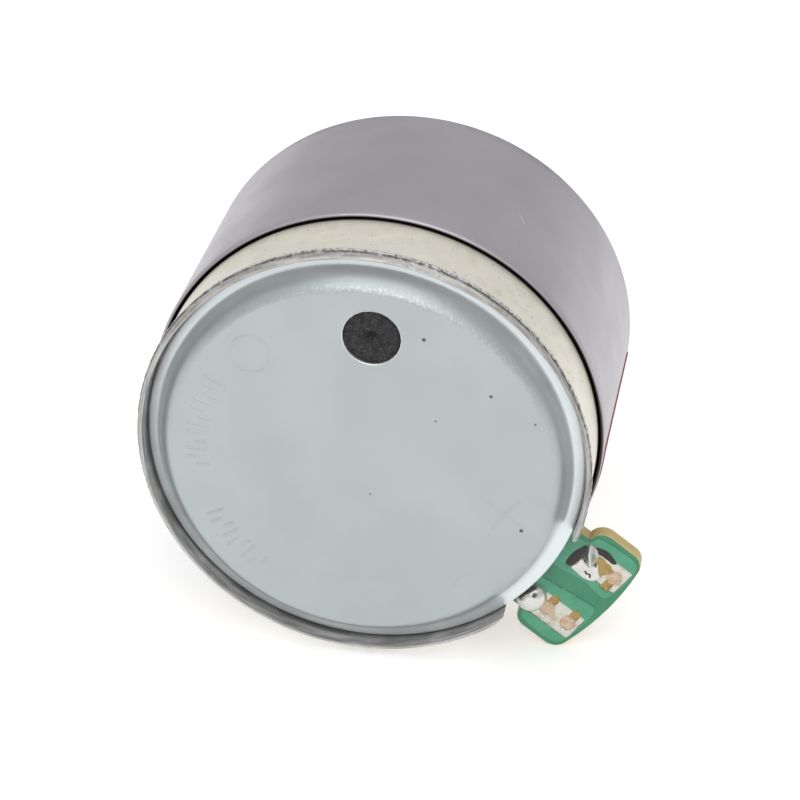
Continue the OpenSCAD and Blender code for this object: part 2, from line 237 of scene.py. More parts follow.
def turned(name, outline, sectors, shift=None, span=None, place=lambda x, z: (x, z)):
    """A closed outline of (radius, station) points turned around an axis along Y.
    shift gives what is added to radius and station; span is a first and a last angle."""
    r = np.array([p[0] for p in outline])
    s = np.array([p[1] for p in outline])
    columns = sectors + 1 if span else sectors
    first, last = span or (0, 360)
    angles = [first + (last - first) * k / sectors for k in range(columns)]
    count = len(outline)
    points = []
    for angle in angles:
        c, d = polar(1, angle)
        dr, ds = shift(r, angle, s) if shift else (0, 0)
        rr, ss = r + dr, s + ds
        points += [(*place(q * c, q * d), t + RIM_Y) for q, t in zip(rr, ss)]
    points = [(x, y, z) for x, z, y in points]
    faces = []
    for k in range(sectors):
        a, b = k * count, ((k + 1) % columns) * count
        faces += [(a + i, a + (i + 1) % count, b + (i + 1) % count, b + i) for i in range(count)]
    if span:
        faces += [tuple(range(count)), tuple(range(sectors * count, columns * count))]
    return piece(name, points, faces)


def plate(name, loops, extra, keep, top, back, sharp=35):
    """A plate seen face on. loops are outlines of (x, z) points, extra the points between them.
    keep says which triangles stay, and top and back give the stations of the two faces."""
    flat = [p for loop in loops for p in loop] + list(extra)
    edges, start = [], 0
    for loop in loops:
        n = len(loop)
        edges += [(start + i, start + (i + 1) % n) for i in range(n)]
        start += n
    made = delaunay_2d_cdt([Vector(p) for p in flat], edges, [], 0, 1e-4)
    x = np.array([p.x for p in made[0]])
    z = np.array([p.y for p in made[0]])
    triangles = np.array([f for f in made[2] if len(f) == 3])
    inside = keep(x[triangles].mean(axis=1), z[triangles].mean(axis=1))
    triangles = triangles[inside]
    used = np.unique(triangles)
    triangles = np.searchsorted(used, triangles)
    x, z = x[used], z[used]
    n = len(x)
    face = top(x, z)
    rear = back(x, z, face)
    points = [(a, s + RIM_Y, b) for a, b, s in zip(x, z, face)]
    points += [(a, s + RIM_Y, b) for a, b, s in zip(x, z, rear)]
    faces = [tuple(t) for t in triangles.tolist()]
    seen = {(a, b) for t in faces for a, b in zip(t, t[1:] + t[:1])}
    walls = [(b, a, a + n, b + n) for a, b in seen if (b, a) not in seen]
    faces += [tuple(i + n for i in reversed(t)) for t in faces] + sorted(walls)
    return piece(name, points, faces, sharp)


def mark(obj, name, value):
    """Stores a number from 0 to 1 at each point, for the material to read."""
    count = len(obj.data.vertices)
    places = np.zeros(count * 3)
    obj.data.vertices.foreach_get("co", places)
    x, y, z = places.reshape(-1, 3).T / MM
    layer = obj.data.attributes.new(name, "FLOAT", "POINT")
    layer.data.foreach_set("value", np.clip(value(x, z, station_of(y)), 0, 1).astype(np.float32))


def settle(obj, body, material, nodes=()):
    """Gives a piece its material and its body, and hides the CAD nodes that it stands for."""
    obj.data.materials.clear()
    obj.data.materials.append(material)
    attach(obj, body)
    if nodes:
        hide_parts(*nodes)
    return obj


# ---- materials ----

def srgb(r, g, b):
    """A colour given as 0 to 255, in linear light."""
    parts = [c / 255 for c in (r, g, b)]
    return tuple(c / 12.92 if c <= 0.04045 else ((c + 0.055) / 1.055) ** 2.4 for c in parts) + (1,)


class Paint:
    """A material around one Principled shader."""

    def __init__(self, name, **fixed):
        self.material = bpy.data.materials.new(name)
        self.material.use_nodes = True
        self.tree = self.material.node_tree
        self.shader = self.tree.nodes["Principled BSDF"]
        for socket, value in fixed.items():
            self.shader.inputs[socket.replace("_", " ")].default_value = value
        self.where = self.node("TexCoord").outputs["Object"]

    def node(self, kind, inputs=None, **settings):
        made = self.tree.nodes.new("ShaderNode" + kind)
        for key, value in settings.items():
            setattr(made, key, value)
        for key, value in (inputs or {}).items():
            if isinstance(value, bpy.types.NodeSocket):
                self.tree.links.new(value, made.inputs[key])
            else:
                made.inputs[key].default_value = value
        return made

    def noise(self, size, detail=3.0, stretch=(1, 1, 1)):
        """Noise from 0 to 1 whose spots are about size millimetres across."""
        where = self.node("Mapping", {"Vector": self.where, "Scale": stretch}).outputs[0]
        inputs = {"Vector": where, "Scale": 1 / (size * MM), "Detail": detail}
        return self.node("TexNoise", inputs).outputs["Fac"]

    def cells(self, size, feature="F1"):
        inputs = {"Vector": self.where, "Scale": 1 / (size * MM)}
        return self.node("TexVoronoi", inputs, feature=feature).outputs["Distance"]

    def stored(self, name):
        return self.node("Attribute", attribute_name=name).outputs["Fac"]

    def spread(self, value, low_in, high_in, low_out=0.0, high_out=1.0):
        inputs = {"Value": value, "From Min": low_in, "From Max": high_in,
                  "To Min": low_out, "To Max": high_out}
        return self.node("MapRange", inputs).outputs["Result"]

    def times(self, a, b):
        return self.node("Math", {0: a, 1: b}, operation="MULTIPLY").outputs[0]

    def mix(self, share, a, b):
        """Colour a where share is 0, b where it is 1."""
        return self.node("Mix", {0: share, 6: a, 7: b}, data_type="RGBA").outputs[2]

    def bump(self, height, depth, under=None):
        inputs = {"Height": height, "Distance": depth * MM, "Strength": 1.0}
        if under:
            inputs["Normal"] = under
        return self.node("Bump", inputs).outputs["Normal"]

    def use(self, **links):
        """Links values to the shader's sockets."""
        for socket, value in links.items():
            self.tree.links.new(value, self.shader.inputs[socket.replace("_", " ")])
        return self.material


def plain(name, light, dark, size, rough, depth=0.01, **fixed):
    """A material of two close tones, with a fine grain in its gloss and its surface."""
    paint = Paint(name, **fixed)
    fine = paint.noise(size / 6, 2)
    return paint.use(
        Base_Color=paint.mix(paint.spread(paint.noise(size), 0.35, 0.65), dark, light),
        Roughness=paint.spread(fine, 0.3, 0.7, rough - 0.07, rough + 0.07),
        Normal=paint.bump(fine, depth))


def can_steel():
    """Galvanised sheet with soft spangle; its cut edges are browner, streaked and dull."""
    paint = Paint("can_steel", Metallic=0.55)
    spangle = paint.spread(paint.cells(1.3), 0.1, 0.8)
    cloud = paint.spread(paint.noise(2.2, 4), 0.35, 0.65)
    sheet = paint.mix(spangle, srgb(222, 220, 202), srgb(240, 237, 220))
    sheet = paint.mix(cloud, sheet, srgb(234, 230, 221))
    pits = paint.spread(paint.noise(0.35, 2), 0.66, 0.74)
    sheet = paint.mix(paint.times(pits, 0.5), sheet, srgb(120, 116, 104))
    cut = paint.mix(paint.stored("streak"), srgb(138, 136, 134), srgb(196, 194, 191))
    cut = paint.mix(paint.stored("burr"), cut, srgb(74, 70, 68))
    sheet = paint.mix(paint.stored("edge"), sheet, cut)
    # Painted highlight: the outer corner is made near-white, speckled by noise.
    corner_glint = paint.times(paint.stored("bright"), paint.spread(paint.noise(0.3, 2), 0.4, 0.52))
    sheet = paint.mix(corner_glint, sheet, srgb(240, 238, 236))
    fine = paint.noise(0.12, 2)
    rough = paint.spread(fine, 0.3, 0.7, 0.4, 0.54)
    return paint.use(Base_Color=paint.mix(paint.stored("shade"), sheet, srgb(46, 40, 38)), Roughness=rough,
                     Normal=paint.bump(paint.noise(0.6, 3), 0.012, paint.bump(fine, 0.004)))


def sleeve_steel():
    """Smooth violet-grey shield sheet with a faint rolled grain along the axis; its ends are darkened with
    painted shade.
    """
    paint = Paint("sleeve_steel", Metallic=0.78)
    cloud = paint.spread(paint.noise(7, 3), 0.35, 0.65)
    tone = paint.mix(cloud, srgb(175, 172, 179), srgb(183, 179, 185))
    speck = paint.spread(paint.noise(0.3, 1), 0.74, 0.8)
    tone = paint.mix(paint.times(speck, 0.4), tone, srgb(120, 116, 118))
    tone = paint.mix(paint.stored("scratch"), tone, srgb(228, 226, 228))
    # Painted shade on the sheet's ends.
    tone = paint.mix(paint.stored("edge"), tone, srgb(58, 50, 48))
    grain_lines = paint.noise(0.5, 2, stretch=(1, 0.06, 1))
    rough = paint.spread(paint.noise(3, 2), 0.3, 0.7, 0.33, 0.41)
    return paint.use(Base_Color=tone, Roughness=rough, Normal=paint.bump(grain_lines, 0.003))


def cover_steel():
    """Bluish zinc-plated sheet, matte on the flat, with painted highlights on its edge, shoulder and hole
    rim, and painted light on its outer ring.
    """
    paint = Paint("cover_steel", Metallic=0.7)
    cloud = paint.spread(paint.noise(6, 3), 0.35, 0.65)
    tone = paint.mix(cloud, srgb(175, 182, 183), srgb(181, 187, 188))
    # Painted light: a lighter tone over the outer ring and valley.
    tone = paint.mix(paint.stored("drawn"), tone, srgb(232, 238, 241))
    # Painted highlight, speckled by noise.
    painted_glint = paint.times(paint.stored("painted_glint"), paint.spread(paint.noise(0.2, 3), 0.48, 0.6))
    tone = paint.mix(painted_glint, tone, srgb(226, 232, 236))
    # Painted highlight round the plug's hole.
    tone = paint.mix(paint.stored("bare"), tone, srgb(240, 240, 236))
    tone = paint.mix(paint.stored("stain"), tone, srgb(84, 84, 68))
    fine = paint.noise(0.16, 3)
    rough = paint.spread(fine, 0.3, 0.7, 0.34, 0.44)
    return paint.use(Base_Color=tone, Roughness=rough,
                     Normal=paint.bump(fine, 0.0035, paint.bump(paint.noise(2.5, 2), 0.01)))


def plug_rubber():
    """Black foam rubber with pale flecks."""
    paint = Paint("plug_rubber")
    fleck = paint.spread(paint.noise(0.16, 3), 0.60, 0.72)
    warm = paint.mix(paint.noise(0.9, 2), srgb(120, 112, 104), srgb(96, 98, 104))
    tone = paint.mix(paint.spread(paint.noise(0.5, 3), 0.35, 0.65), srgb(16, 15, 17), srgb(44, 41, 44))
    rough = paint.spread(paint.noise(0.2), 0.3, 0.7, 0.62, 0.86)
    return paint.use(Base_Color=paint.mix(paint.times(fleck, 0.8), tone, warm), Roughness=rough,
                     Normal=paint.bump(paint.noise(0.12, 3), 0.03))


def mask_lacquer():
    """Green lacquer: lighter over the copper, darker over bare laminate and in the steps between."""
    paint = Paint("mask_lacquer", Coat_Weight=0.5, Coat_Roughness=0.12)
    cloud = paint.spread(paint.noise(1.2, 3), 0.35, 0.65)
    over_copper = paint.mix(cloud, srgb(58, 144, 108), srgb(72, 154, 118))
    bare = paint.mix(cloud, srgb(34, 122, 84), srgb(44, 134, 94))
    tone = paint.mix(paint.stored("copper"), bare, over_copper)
    tone = paint.mix(paint.stored("step"), tone, srgb(20, 88, 64))
    rough = paint.spread(paint.noise(0.3, 2), 0.3, 0.7, 0.3, 0.42)
    return paint.use(Base_Color=tone, Roughness=rough, Normal=paint.bump(paint.noise(0.5, 2), 0.008))


def laminate():
    """Phenolic paper board: tan, with the layers showing as fine lines on its cut edge."""
    paint = Paint("laminate")
    layers = paint.noise(0.5, 3, stretch=(0.15, 4, 0.15))
    tone = paint.mix(paint.spread(layers, 0.35, 0.65), srgb(176, 156, 104), srgb(206, 188, 134))
    tone = paint.mix(paint.spread(paint.noise(1.5, 3), 0.45, 0.7), tone, srgb(190, 176, 116))
    rough = paint.spread(paint.noise(0.2), 0.3, 0.7, 0.5, 0.66)
    return paint.use(Base_Color=tone, Roughness=rough, Normal=paint.bump(layers, 0.012))


def tin():
    """Hot-dipped tin: bright, a little wavy, with yellowish flux stains."""
    paint = Paint("tin", Metallic=0.85)
    stain = paint.spread(paint.noise(0.7, 4), 0.5, 0.68)
    tone = paint.mix(paint.times(stain, 0.7), srgb(212, 209, 200), srgb(180, 166, 134))
    dots = paint.spread(paint.noise(0.12, 1), 0.72, 0.78)
    tone = paint.mix(paint.times(dots, 0.6), tone, srgb(128, 116, 92))
    rough = paint.spread(paint.noise(0.4, 3), 0.3, 0.7, 0.22, 0.42)
    return paint.use(Base_Color=tone, Roughness=rough, Normal=paint.bump(paint.noise(0.45, 3), 0.02))


def solder_metal():
    """Bright solder with a fine frosty grain and painted dark reflections in its hollows."""
    paint = Paint("solder_metal", Metallic=0.85)
    painted_dark = paint.stored("painted_dark")
    tone = paint.mix(paint.noise(0.6, 3), srgb(206, 204, 198), srgb(230, 228, 224))
    # Painted dark reflection in the solder's hollows.
    tone = paint.mix(painted_dark, tone, srgb(60, 50, 40))
    rough = paint.spread(paint.noise(0.25, 3), 0.3, 0.7, 0.16, 0.3)
    return paint.use(Base_Color=tone, Roughness=rough, Normal=paint.bump(paint.noise(0.35, 3), 0.008))


def flux(name, light, dark):
    """Set flux resin: glossy, clear enough to vary in tone."""
    paint = Paint(name, Coat_Weight=0.25, Coat_Roughness=0.15)
    tone = paint.mix(paint.spread(paint.noise(0.4, 3), 0.35, 0.65), dark, light)
    rough = paint.spread(paint.noise(0.2), 0.3, 0.7, 0.3, 0.5)
    return paint.use(Base_Color=tone, Roughness=rough, Normal=paint.bump(paint.noise(0.3), 0.015))


def label_paper():
    """Coated paper, blank, with a printed border line."""
    paint = Paint("label_paper")
    tone = paint.mix(paint.spread(paint.noise(2, 3), 0.35, 0.65), srgb(232, 228, 218), srgb(240, 237, 230))
    tone = paint.mix(paint.stored("border"), tone, srgb(160, 40, 32))
    rough = paint.spread(paint.noise(0.3), 0.3, 0.7, 0.36, 0.46)
    return paint.use(Base_Color=tone, Roughness=rough, Normal=paint.bump(paint.noise(0.15, 3), 0.004))


def turned_steel():
    """Ground steel shaft, with fine rings around it."""
    paint = Paint("turned_steel", Metallic=1.0)
    rings = paint.noise(0.25, 2, stretch=(0.1, 1, 0.1))
    tone = paint.mix(paint.noise(1.5, 3), srgb(196, 197, 198), srgb(220, 220, 219))
    return paint.use(Base_Color=tone, Roughness=paint.spread(rings, 0.3, 0.7, 0.16, 0.28),
                     Normal=paint.bump(rings, 0.002))


def sintered():
    """Oil-soaked sintered bronze: dull and finely porous."""
    paint = Paint("sintered", Metallic=0.85)
    pores = paint.spread(paint.noise(0.1, 2), 0.58, 0.68)
    tone = paint.mix(paint.noise(0.8, 3), srgb(150, 112, 66), srgb(180, 140, 88))
    tone = paint.mix(pores, tone, srgb(72, 52, 32))
    return paint.use(Base_Color=tone, Roughness=paint.spread(pores, 0, 1, 0.38, 0.7),
                     Normal=paint.bump(pores, -0.012))


def enamelled_wire():
    """Copper wire turns, side by side, under amber enamel."""
    paint = Paint("enamelled_wire", Metallic=0.8, Coat_Weight=0.5, Coat_Roughness=0.15)
    wraps = paint.node("TexWave", {"Vector": paint.where, "Scale": 1 / (0.9 * MM), "Distortion": 0.6},
                       bands_direction="Y").outputs["Fac"]
    tone = paint.mix(wraps, srgb(120, 56, 28), srgb(204, 120, 70))
    return paint.use(Base_Color=tone, Roughness=paint.spread(paint.noise(0.3), 0.3, 0.7, 0.25, 0.38),
                     Normal=paint.bump(wraps, 0.05))


def stacked_steel():
    """Edges of stacked laminations."""
    paint = Paint("stacked_steel", Metallic=0.9)
    sheets = paint.node("TexWave", {"Vector": paint.where, "Scale": 1 / (3.1 * MM), "Distortion": 0.3},
                        bands_direction="Y").outputs["Fac"]
    tone = paint.mix(sheets, srgb(104, 104, 108), srgb(150, 150, 152))
    return paint.use(Base_Color=tone, Roughness=paint.spread(paint.noise(0.3), 0.3, 0.7, 0.36, 0.5),
                     Normal=paint.bump(sheets, 0.04))


# ---- can ----

MOUTH_R = COVER_R + 0.15
BAND_R = RIM_R - 0.25
SEAT_R = SLEEVE_R - SLEEVE_WALL
BORE_R = 17
LIP_TOP = station_of(low("motor_can").y)
LEDGE = 1.5
SLOT_HALF_W = 5.7
SLOT_END = BOARD_END + 0.2
FRONT_WALL = 0.8
MOUNT_R = 13
MOUNT_ANGLES = (90, 210, 330)
MOUNT_HOLE_R = 1.1


def can_outline():
    boss_r = 3.5
    bush_r = 2.6
    round_r = 1.2
    lip = [(MOUTH_R, 0.75), (MOUTH_R, 0.4), (MOUTH_R, 0.1), (MOUTH_R, -0.15), (MOUTH_R, LIP_TOP + 0.12),
           (MOUTH_R + 0.04, LIP_TOP + 0.03), (MOUTH_R + 0.12, LIP_TOP), (MOUTH_R + 0.21, LIP_TOP + 0.06),
           (MOUTH_R + 0.30, LIP_TOP + 0.17), (MOUTH_R + 0.38, LIP_TOP + 0.29),
           (MOUTH_R + 0.46, LIP_TOP + 0.40)]
    burr = [(RIM_R - 0.03, -0.03), (RIM_R, 0.05), (RIM_R, 0.17), (RIM_R - 0.01, 0.28),
            (RIM_R - 0.07, 0.37), (RIM_R - 0.17, 0.45), (BAND_R, 0.62)]
    step = SLEEVE_START
    stations = (0.9, 1.6, 2.4, 3.2, 4.0, 4.8, step - 0.1, step + 0.02, step + 0.1, step + 0.4)
    band = [(BAND_R, s) for s in stations]
    seat = [(SEAT_R, s) for s in (step + 0.7, 10, 14, 18, 22)]
    front = arc(SEAT_R - round_r, FRONT - round_r, round_r, 0, 90, 12)
    face = [(15, FRONT), (12, FRONT), (9, FRONT), (6, FRONT), (boss_r + 0.15, FRONT)]
    boss = [(boss_r, FRONT + 0.15), (boss_r, BOSS_END - 0.25)]
    boss += arc(boss_r - 0.25, BOSS_END - 0.25, 0.25, 15, 90, 5)
    boss += [(bush_r + 0.12, BOSS_END), (bush_r, BOSS_END - 0.12), (bush_r, FRONT - FRONT_WALL)]
    inside = [(9, FRONT - FRONT_WALL)]
    inside += arc(BORE_R - 0.5, FRONT - FRONT_WALL - 0.5, 0.5, 90, 0, 5)
    return lip + burr + band + seat + front + face + boss + inside + [(BORE_R, LEDGE), (MOUTH_R, LEDGE)]


def can_wear(r, angle, s):
    """Roughness of the sheared lip: coarse at the burr, slight on the lip's face."""
    x, z = polar(RIM_R, angle)
    inner = smooth((0.4 - s) / 0.4) * smooth((RIM_R - 0.02 - r) / 0.4) * (r > MOUTH_R - 0.01)
    upper, side = bell((angle - 95) / 45, 1), bell(((angle + 180) % 360 - 185) / 35, 1)
    near_lip = smooth((0.7 - s) / 0.4) * smooth((r - MOUTH_R + 0.02) / 0.05)
    burr = smooth((r - RIM_R + 0.12) / 0.1) * near_lip
    coarse = noise.fractal(Vector((x, z, 0)) / 0.35, 0.8, 2.0, 3)
    tiny = noise.noise(Vector((x, z, 5)) / 0.12)
    slow = noise.noise(Vector((x, z, 9)) / 4)
    dr = burr * np.clip(0.04 * coarse + 0.02 * tiny - 0.01, -0.07, 0.0) + inner * (0.14 * side - 0.1 * upper)
    ds = near_lip * (0.05 * slow + 0.02 * coarse) + burr * 0.04 * tiny
    return dr, ds


def prism(name, outline, place, first, last):
    """A closed solid with the same outline, set by place, at its first and last level."""
    count = len(outline)
    placed = [place(a, b, level) for level in (first, last) for a, b in outline]
    points = [(x, s + RIM_Y, z) for x, s, z in placed]
    faces = [tuple(range(count)), tuple(range(count, 2 * count))]
    faces += [(i, (i + 1) % count, count + (i + 1) % count, count + i) for i in range(count)]
    return piece(name, points, faces)


def slot_cutters():
    """The opening for the tab: its floor with rounded corners, then its mouth.
    The lip was sheared square to the tab on the lower side, which leaves a tongue inside it."""
    corner, v, split = 0.4, SLOT_HALF_W, 1.9
    tongue_v, tongue_u = 3.7, 17.1
    floor = [(-v, split)] + arc(-v + corner, SLOT_END - corner, corner, 180, 90, 5)
    floor += arc(v - corner, SLOT_END - corner, corner, 90, 0, 5) + [(v, split)]
    mouth = [(15, -tongue_v), (tongue_u, -tongue_v), (tongue_u, -v + 0.1), (19.5, -v + 0.1),
             (19.5, v), (15, v)]

    def across(v, s, u):
        x, z = on_tab(u, v)
        return x, s, z

    def along(u, v, s):
        x, z = on_tab(u, v)
        return x, s, z

    return [prism("slot_floor", floor, across, 15, 19.5), prism("slot_mouth", mouth, along, -2, split + 0.01)]


def thread_cutter(angle):
    """A tapped hole, as stacked grooves."""
    pitch = 0.45
    cx, cz = polar(MOUNT_R, angle)
    start = FRONT - 2.6
    outline = [(0, start)]
    for i in range(8):
        outline += [(MOUNT_HOLE_R, start + i * pitch), (MOUNT_HOLE_R + 0.14, start + (i + 0.5) * pitch)]
    outline.append((0, start + 8 * pitch))
    return turned("thread_cutter", outline, 48, place=lambda x, z: (x + cx, z + cz))


def mount_collar(angle):
    cx, cz = polar(MOUNT_R, angle)
    inner, outer = FRONT - FRONT_WALL - 1, FRONT - 0.3
    r = MOUNT_HOLE_R + 0.7
    return turned("mount_collar", [(0, inner), (r, inner), (r, outer), (0, outer)], 48,
                  place=lambda x, z: (x + cx, z + cz))


def can_edge(x, z, s):
    """1 on the sheared lip, the mouth's wall and the slot's faces."""
    r = np.hypot(x, z)
    u, v = tab_axes(x, z)
    lip = smooth((0.42 - s) / 0.15) * smooth((r - MOUTH_R + 0.1) / 0.1)
    mouth = (s < LEDGE + 0.05) * (r < MOUTH_R + 0.03)
    slot = (np.abs(v) < SLOT_HALF_W + 0.02) * (u > 0) * (s < SLOT_END + 0.02)
    return np.maximum.reduce([lip, mouth, slot])


def under_sleeve(x, z, s):
    """1 in the gap under the sleeve's rear end."""
    outside = np.hypot(x, z) > BAND_R - 0.1
    return smooth((s - SLEEVE_START + 0.05) / 0.1) * outside * (s < SLEEVE_START + 1.5)


def can_streaks(x, z, s):
    """Drawing lines that run round the lip, lighter along its inner edge; the mouth's wall is made darker, as
    painted shade in the gap round the cover.
    """
    r = np.hypot(x, z)
    lines = grain(x / 7, s * 7 + r * 9, z / 7, 0.45, 3)
    inner = bell(r - MOUTH_R - 0.07, 0.06)
    return 0.5 + 0.9 * lines + 0.6 * inner - 0.35 * (r < MOUTH_R + 0.02)


def can_burr(x, z, s):
    """1 along the ragged line just inside the lip's outer corner."""
    ragged = grain(x, s, z, 0.5, 3)
    return smooth(bell(np.hypot(x, z) - RIM_R + 0.07, 0.05) * (0.9 + 1.1 * ragged)) * smooth((0.3 - s) / 0.2)


def can_corner_highlight(x, z, s):
    """1 on the outer corner itself, where a speckled highlight is painted."""
    return bell(s - 0.12, 0.14) * smooth((np.hypot(x, z) - RIM_R + 0.08) / 0.05)


def make_can():
    can = turned("can_shell", can_outline(), 1200, can_wear)
    for angle in MOUNT_ANGLES:
        combine(can, mount_collar(angle), "UNION")
        combine(can, thread_cutter(angle), "DIFFERENCE")
    for cutter in slot_cutters():
        combine(can, cutter, "DIFFERENCE")
    mark(can, "edge", can_edge)
    mark(can, "shade", under_sleeve)
    mark(can, "streak", can_streaks)
    mark(can, "burr", can_burr)
    mark(can, "bright", can_corner_highlight)
    settle(can, "stator", can_steel(), ["motor_can"])


# ---- sleeve and label ----

SEAM_ANGLE = -120
SEAM_W = 0.3
SCRATCH = [(math.radians(angle) * SLEEVE_R, s) for angle, s in ((56.3, 13.65), (54.8, 12.9))]


def sleeve_wear(r, angle, s):
    """Slight waves in the sheared ends."""
    x, z = polar(SLEEVE_R, angle)
    end = smooth((SLEEVE_START + 0.3 - s) / 0.2) + smooth((s - SLEEVE_END + 0.3) / 0.2)
    slow = noise.noise(Vector((x, z, 3)) / 5)
    fine = noise.noise(Vector((x, z, 7)) / 0.5)
    return 0 * r, end * (0.03 * slow + 0.012 * fine)


def make_sleeve():
    half_seam = math.degrees(SEAM_W / 2 / SEAT_R)
    e = 0.06
    rings = [6.6, 8, 11, 12.8, 12.9, 13, 13.15, 13.3, 13.45, 13.6, 13.7, 13.8, 17, 20, 23]
    outer = [(SLEEVE_R - 0.18, SLEEVE_START), (SLEEVE_R - 0.11, SLEEVE_START + 0.03)]
    outer += [(SLEEVE_R - 0.04, SLEEVE_START + 0.1), (SLEEVE_R, SLEEVE_START + 0.22)]
    outer += [(SLEEVE_R, s) for s in rings]
    outer += [(SLEEVE_R, SLEEVE_END - e), (SLEEVE_R - e, SLEEVE_END)]
    inner = [(SEAT_R + e, SLEEVE_END), (SEAT_R, SLEEVE_END - e), (SEAT_R, SLEEVE_START + e),
             (SEAT_R + e, SLEEVE_START)]
    span = (SEAM_ANGLE + half_seam, SEAM_ANGLE + 360 - half_seam)
    sleeve = turned("sleeve_sheet", outer + inner, 900, sleeve_wear, span)

    # Painted shade: dark on the inner part of the rear end, as the shadow in the gap over the can's band,
    # wider on the right; the front end is darkened too.
    def edge(x, z, s):
        r = np.hypot(x, z)
        side = bell((np.degrees(np.arctan2(z, x)) + 5) / 30, 1)
        inside = smooth((SLEEVE_R - 0.15 + 0.09 * side - r) / 0.06)
        return np.maximum(inside, 0.6 * smooth((s - SLEEVE_END + 0.07) / 0.06))

    def scratch(x, z, s):
        along = to_segment(np.arctan2(z, x) * SLEEVE_R, s, *SCRATCH)
        return 0.7 * smooth((0.1 - along) / 0.09)

    mark(sleeve, "edge", edge)
    mark(sleeve, "scratch", scratch)
    settle(sleeve, "stator", sleeve_steel(), ["shield_sleeve"])


def make_label():
    start, end = station_of(low("rating_label").y), station_of(high("rating_label").y)
    upper, spread_angle = -4.2, 68
    thickness = 0.08
    corner, border = 1.0, 0.6
    length, width = math.radians(spread_angle) * SLEEVE_R, end - start
    columns, rows = 150, 48
    points, sides = [], []
    for layer in (0.0, thickness):
        for i in range(columns + 1):
            a = length * i / columns
            inset = max(corner - a, a - length + corner, 0)
            cut = corner - math.sqrt(max(corner ** 2 - inset ** 2, 0))
            for j in range(rows + 1):
                w = cut + (width - 2 * cut) * j / rows
                x, z = polar(SLEEVE_R + 0.005 + layer, upper - math.degrees(a / SLEEVE_R))
                points.append((x, start + w + RIM_Y, z))
    count = (columns + 1) * (rows + 1)

    def at(i, j):
        return i * (rows + 1) + j

    faces = []
    for i in range(columns):
        for j in range(rows):
            quad = (at(i, j), at(i + 1, j), at(i + 1, j + 1), at(i, j + 1))
            faces += [quad, tuple(k + count for k in quad)]
    rim = [at(i, 0) for i in range(columns)] + [at(columns, j) for j in range(rows)]
    rim += [at(i, rows) for i in range(columns, 0, -1)] + [at(0, j) for j in range(rows, 0, -1)]
    faces += [(a, b, b + count, a + count) for a, b in zip(rim, rim[1:] + rim[:1])]
    label = piece("label_sheet", points, faces)

    def red(x, z, s):
        along = (upper - np.degrees(np.arctan2(z, x))) * math.radians(1) * SLEEVE_R
        inside = np.minimum.reduce([along, length - along, s - start, end - s])
        return smooth((border - inside) / 0.12)

    mark(label, "border", red)
    settle(label, "stator", label_paper(), ["rating_label"])


# ---- rear cover ----

SHOULDER_START = 14.8
VALLEY_R = 16.37
RING_LEVEL = 0.7
RIB_R = (12.1, 13.7)
RIB_GROUPS = [(151, 12), (206, 9)]
RIB_STEP = 3.2
RING_AT = polar(12.2, 133.5)
RING_R = 1.57
PLUS_AT = polar(11.93, -16.2)
MINUS_AT = polar(12.55, -51.9)
STAINS = [(polar(12.5, 66.3), 0.2), (polar(12.4, 34.8), 0.17), (polar(13.57, -20), 0.2),
          (polar(7.46, 36.9), 0.1), (polar(14.5, 20.1), 0.12), (polar(2.77, -72.1), 0.1)]


def strokes():
    """The pressed marks as (start, end, depth): a plus, a minus and plain ribs."""
    made = []
    signs = ((PLUS_AT, 1.75, 0, 0.05), (PLUS_AT, 0, 1.75, 0.08), (MINUS_AT, 0, 1.0, 0.06))
    for (x, z), du, dv, depth in signs:
        a, b = on_tab(du, dv)
        made.append(((x - a, z - b), (x + a, z + b), depth))
    for first, count in RIB_GROUPS:
        for i in range(count):
            inner = RIB_R[0] + (0.7 if i % 3 == 1 else 0)
            outer = RIB_R[1] - (0.7 if i % 3 == 2 else 0)
            angle = first + i * RIB_STEP
            made.append((polar(inner, angle), polar(outer, angle), 0.08))
    return made


def dents():
    """Small dings on the upper shoulder: a place and a size for each."""
    dice = random.Random(11)
    made = []
    for _ in range(16):
        place = polar(dice.uniform(15.0, 15.8), dice.gauss(84, 13))
        made.append((place, dice.uniform(0.08, 0.17)))
    return made


def cover_reach(cosine):
    """The cover sits 0.1 mm towards +X in the can's mouth."""
    return COVER_R + 0.1 * np.clip(cosine, 0, 1)


def cover_face(x, z):
    r = np.hypot(x, z)
    fall = np.clip(r - SHOULDER_START, 0, None) / (VALLEY_R - SHOULDER_START)
    past_valley = RING_LEVEL + 0.25 * np.clip(r - VALLEY_R, -1, None)
    s = blended_min(FLAT + (RING_LEVEL - FLAT) * fall ** 1.8, past_valley, 0.3)
    edge = np.clip((r - cover_reach(x / np.maximum(r, 1)) + 0.2) / 0.22, 0, 1)
    s = s + 0.2 * (1 - np.sqrt(np.clip(1 - edge ** 2, 0, 1)))
    line_w, soft = 0.15, 0.13
    for a, b, depth in strokes():
        s = s - depth * smooth((line_w - to_segment(x, z, a, b)) / soft)
    ring = np.abs(np.hypot(x - RING_AT[0], z - RING_AT[1]) - RING_R)
    s = s - 0.07 * smooth((line_w - ring) / soft)
    for (cx, cz), size in dents():
        s = s + 0.16 * size * bell(np.hypot(x - cx, z - cz), size)
    crease_line = [polar(15.5, 118), polar(15.3, 111), polar(15.1, 105), polar(14.9, 98), polar(15, 90)]
    crease = to_path(x, z, crease_line)
    s = s + 0.035 * bell(crease, 0.07)
    to_hole = np.hypot(x - HOLE.x, z - HOLE.z) - HOLE_R
    s = s + 0.07 * np.clip(1 - to_hole / 0.1, 0, 1) ** 2
    return s + 0.012 * grain(x, 0 * x, z, 5, 1)


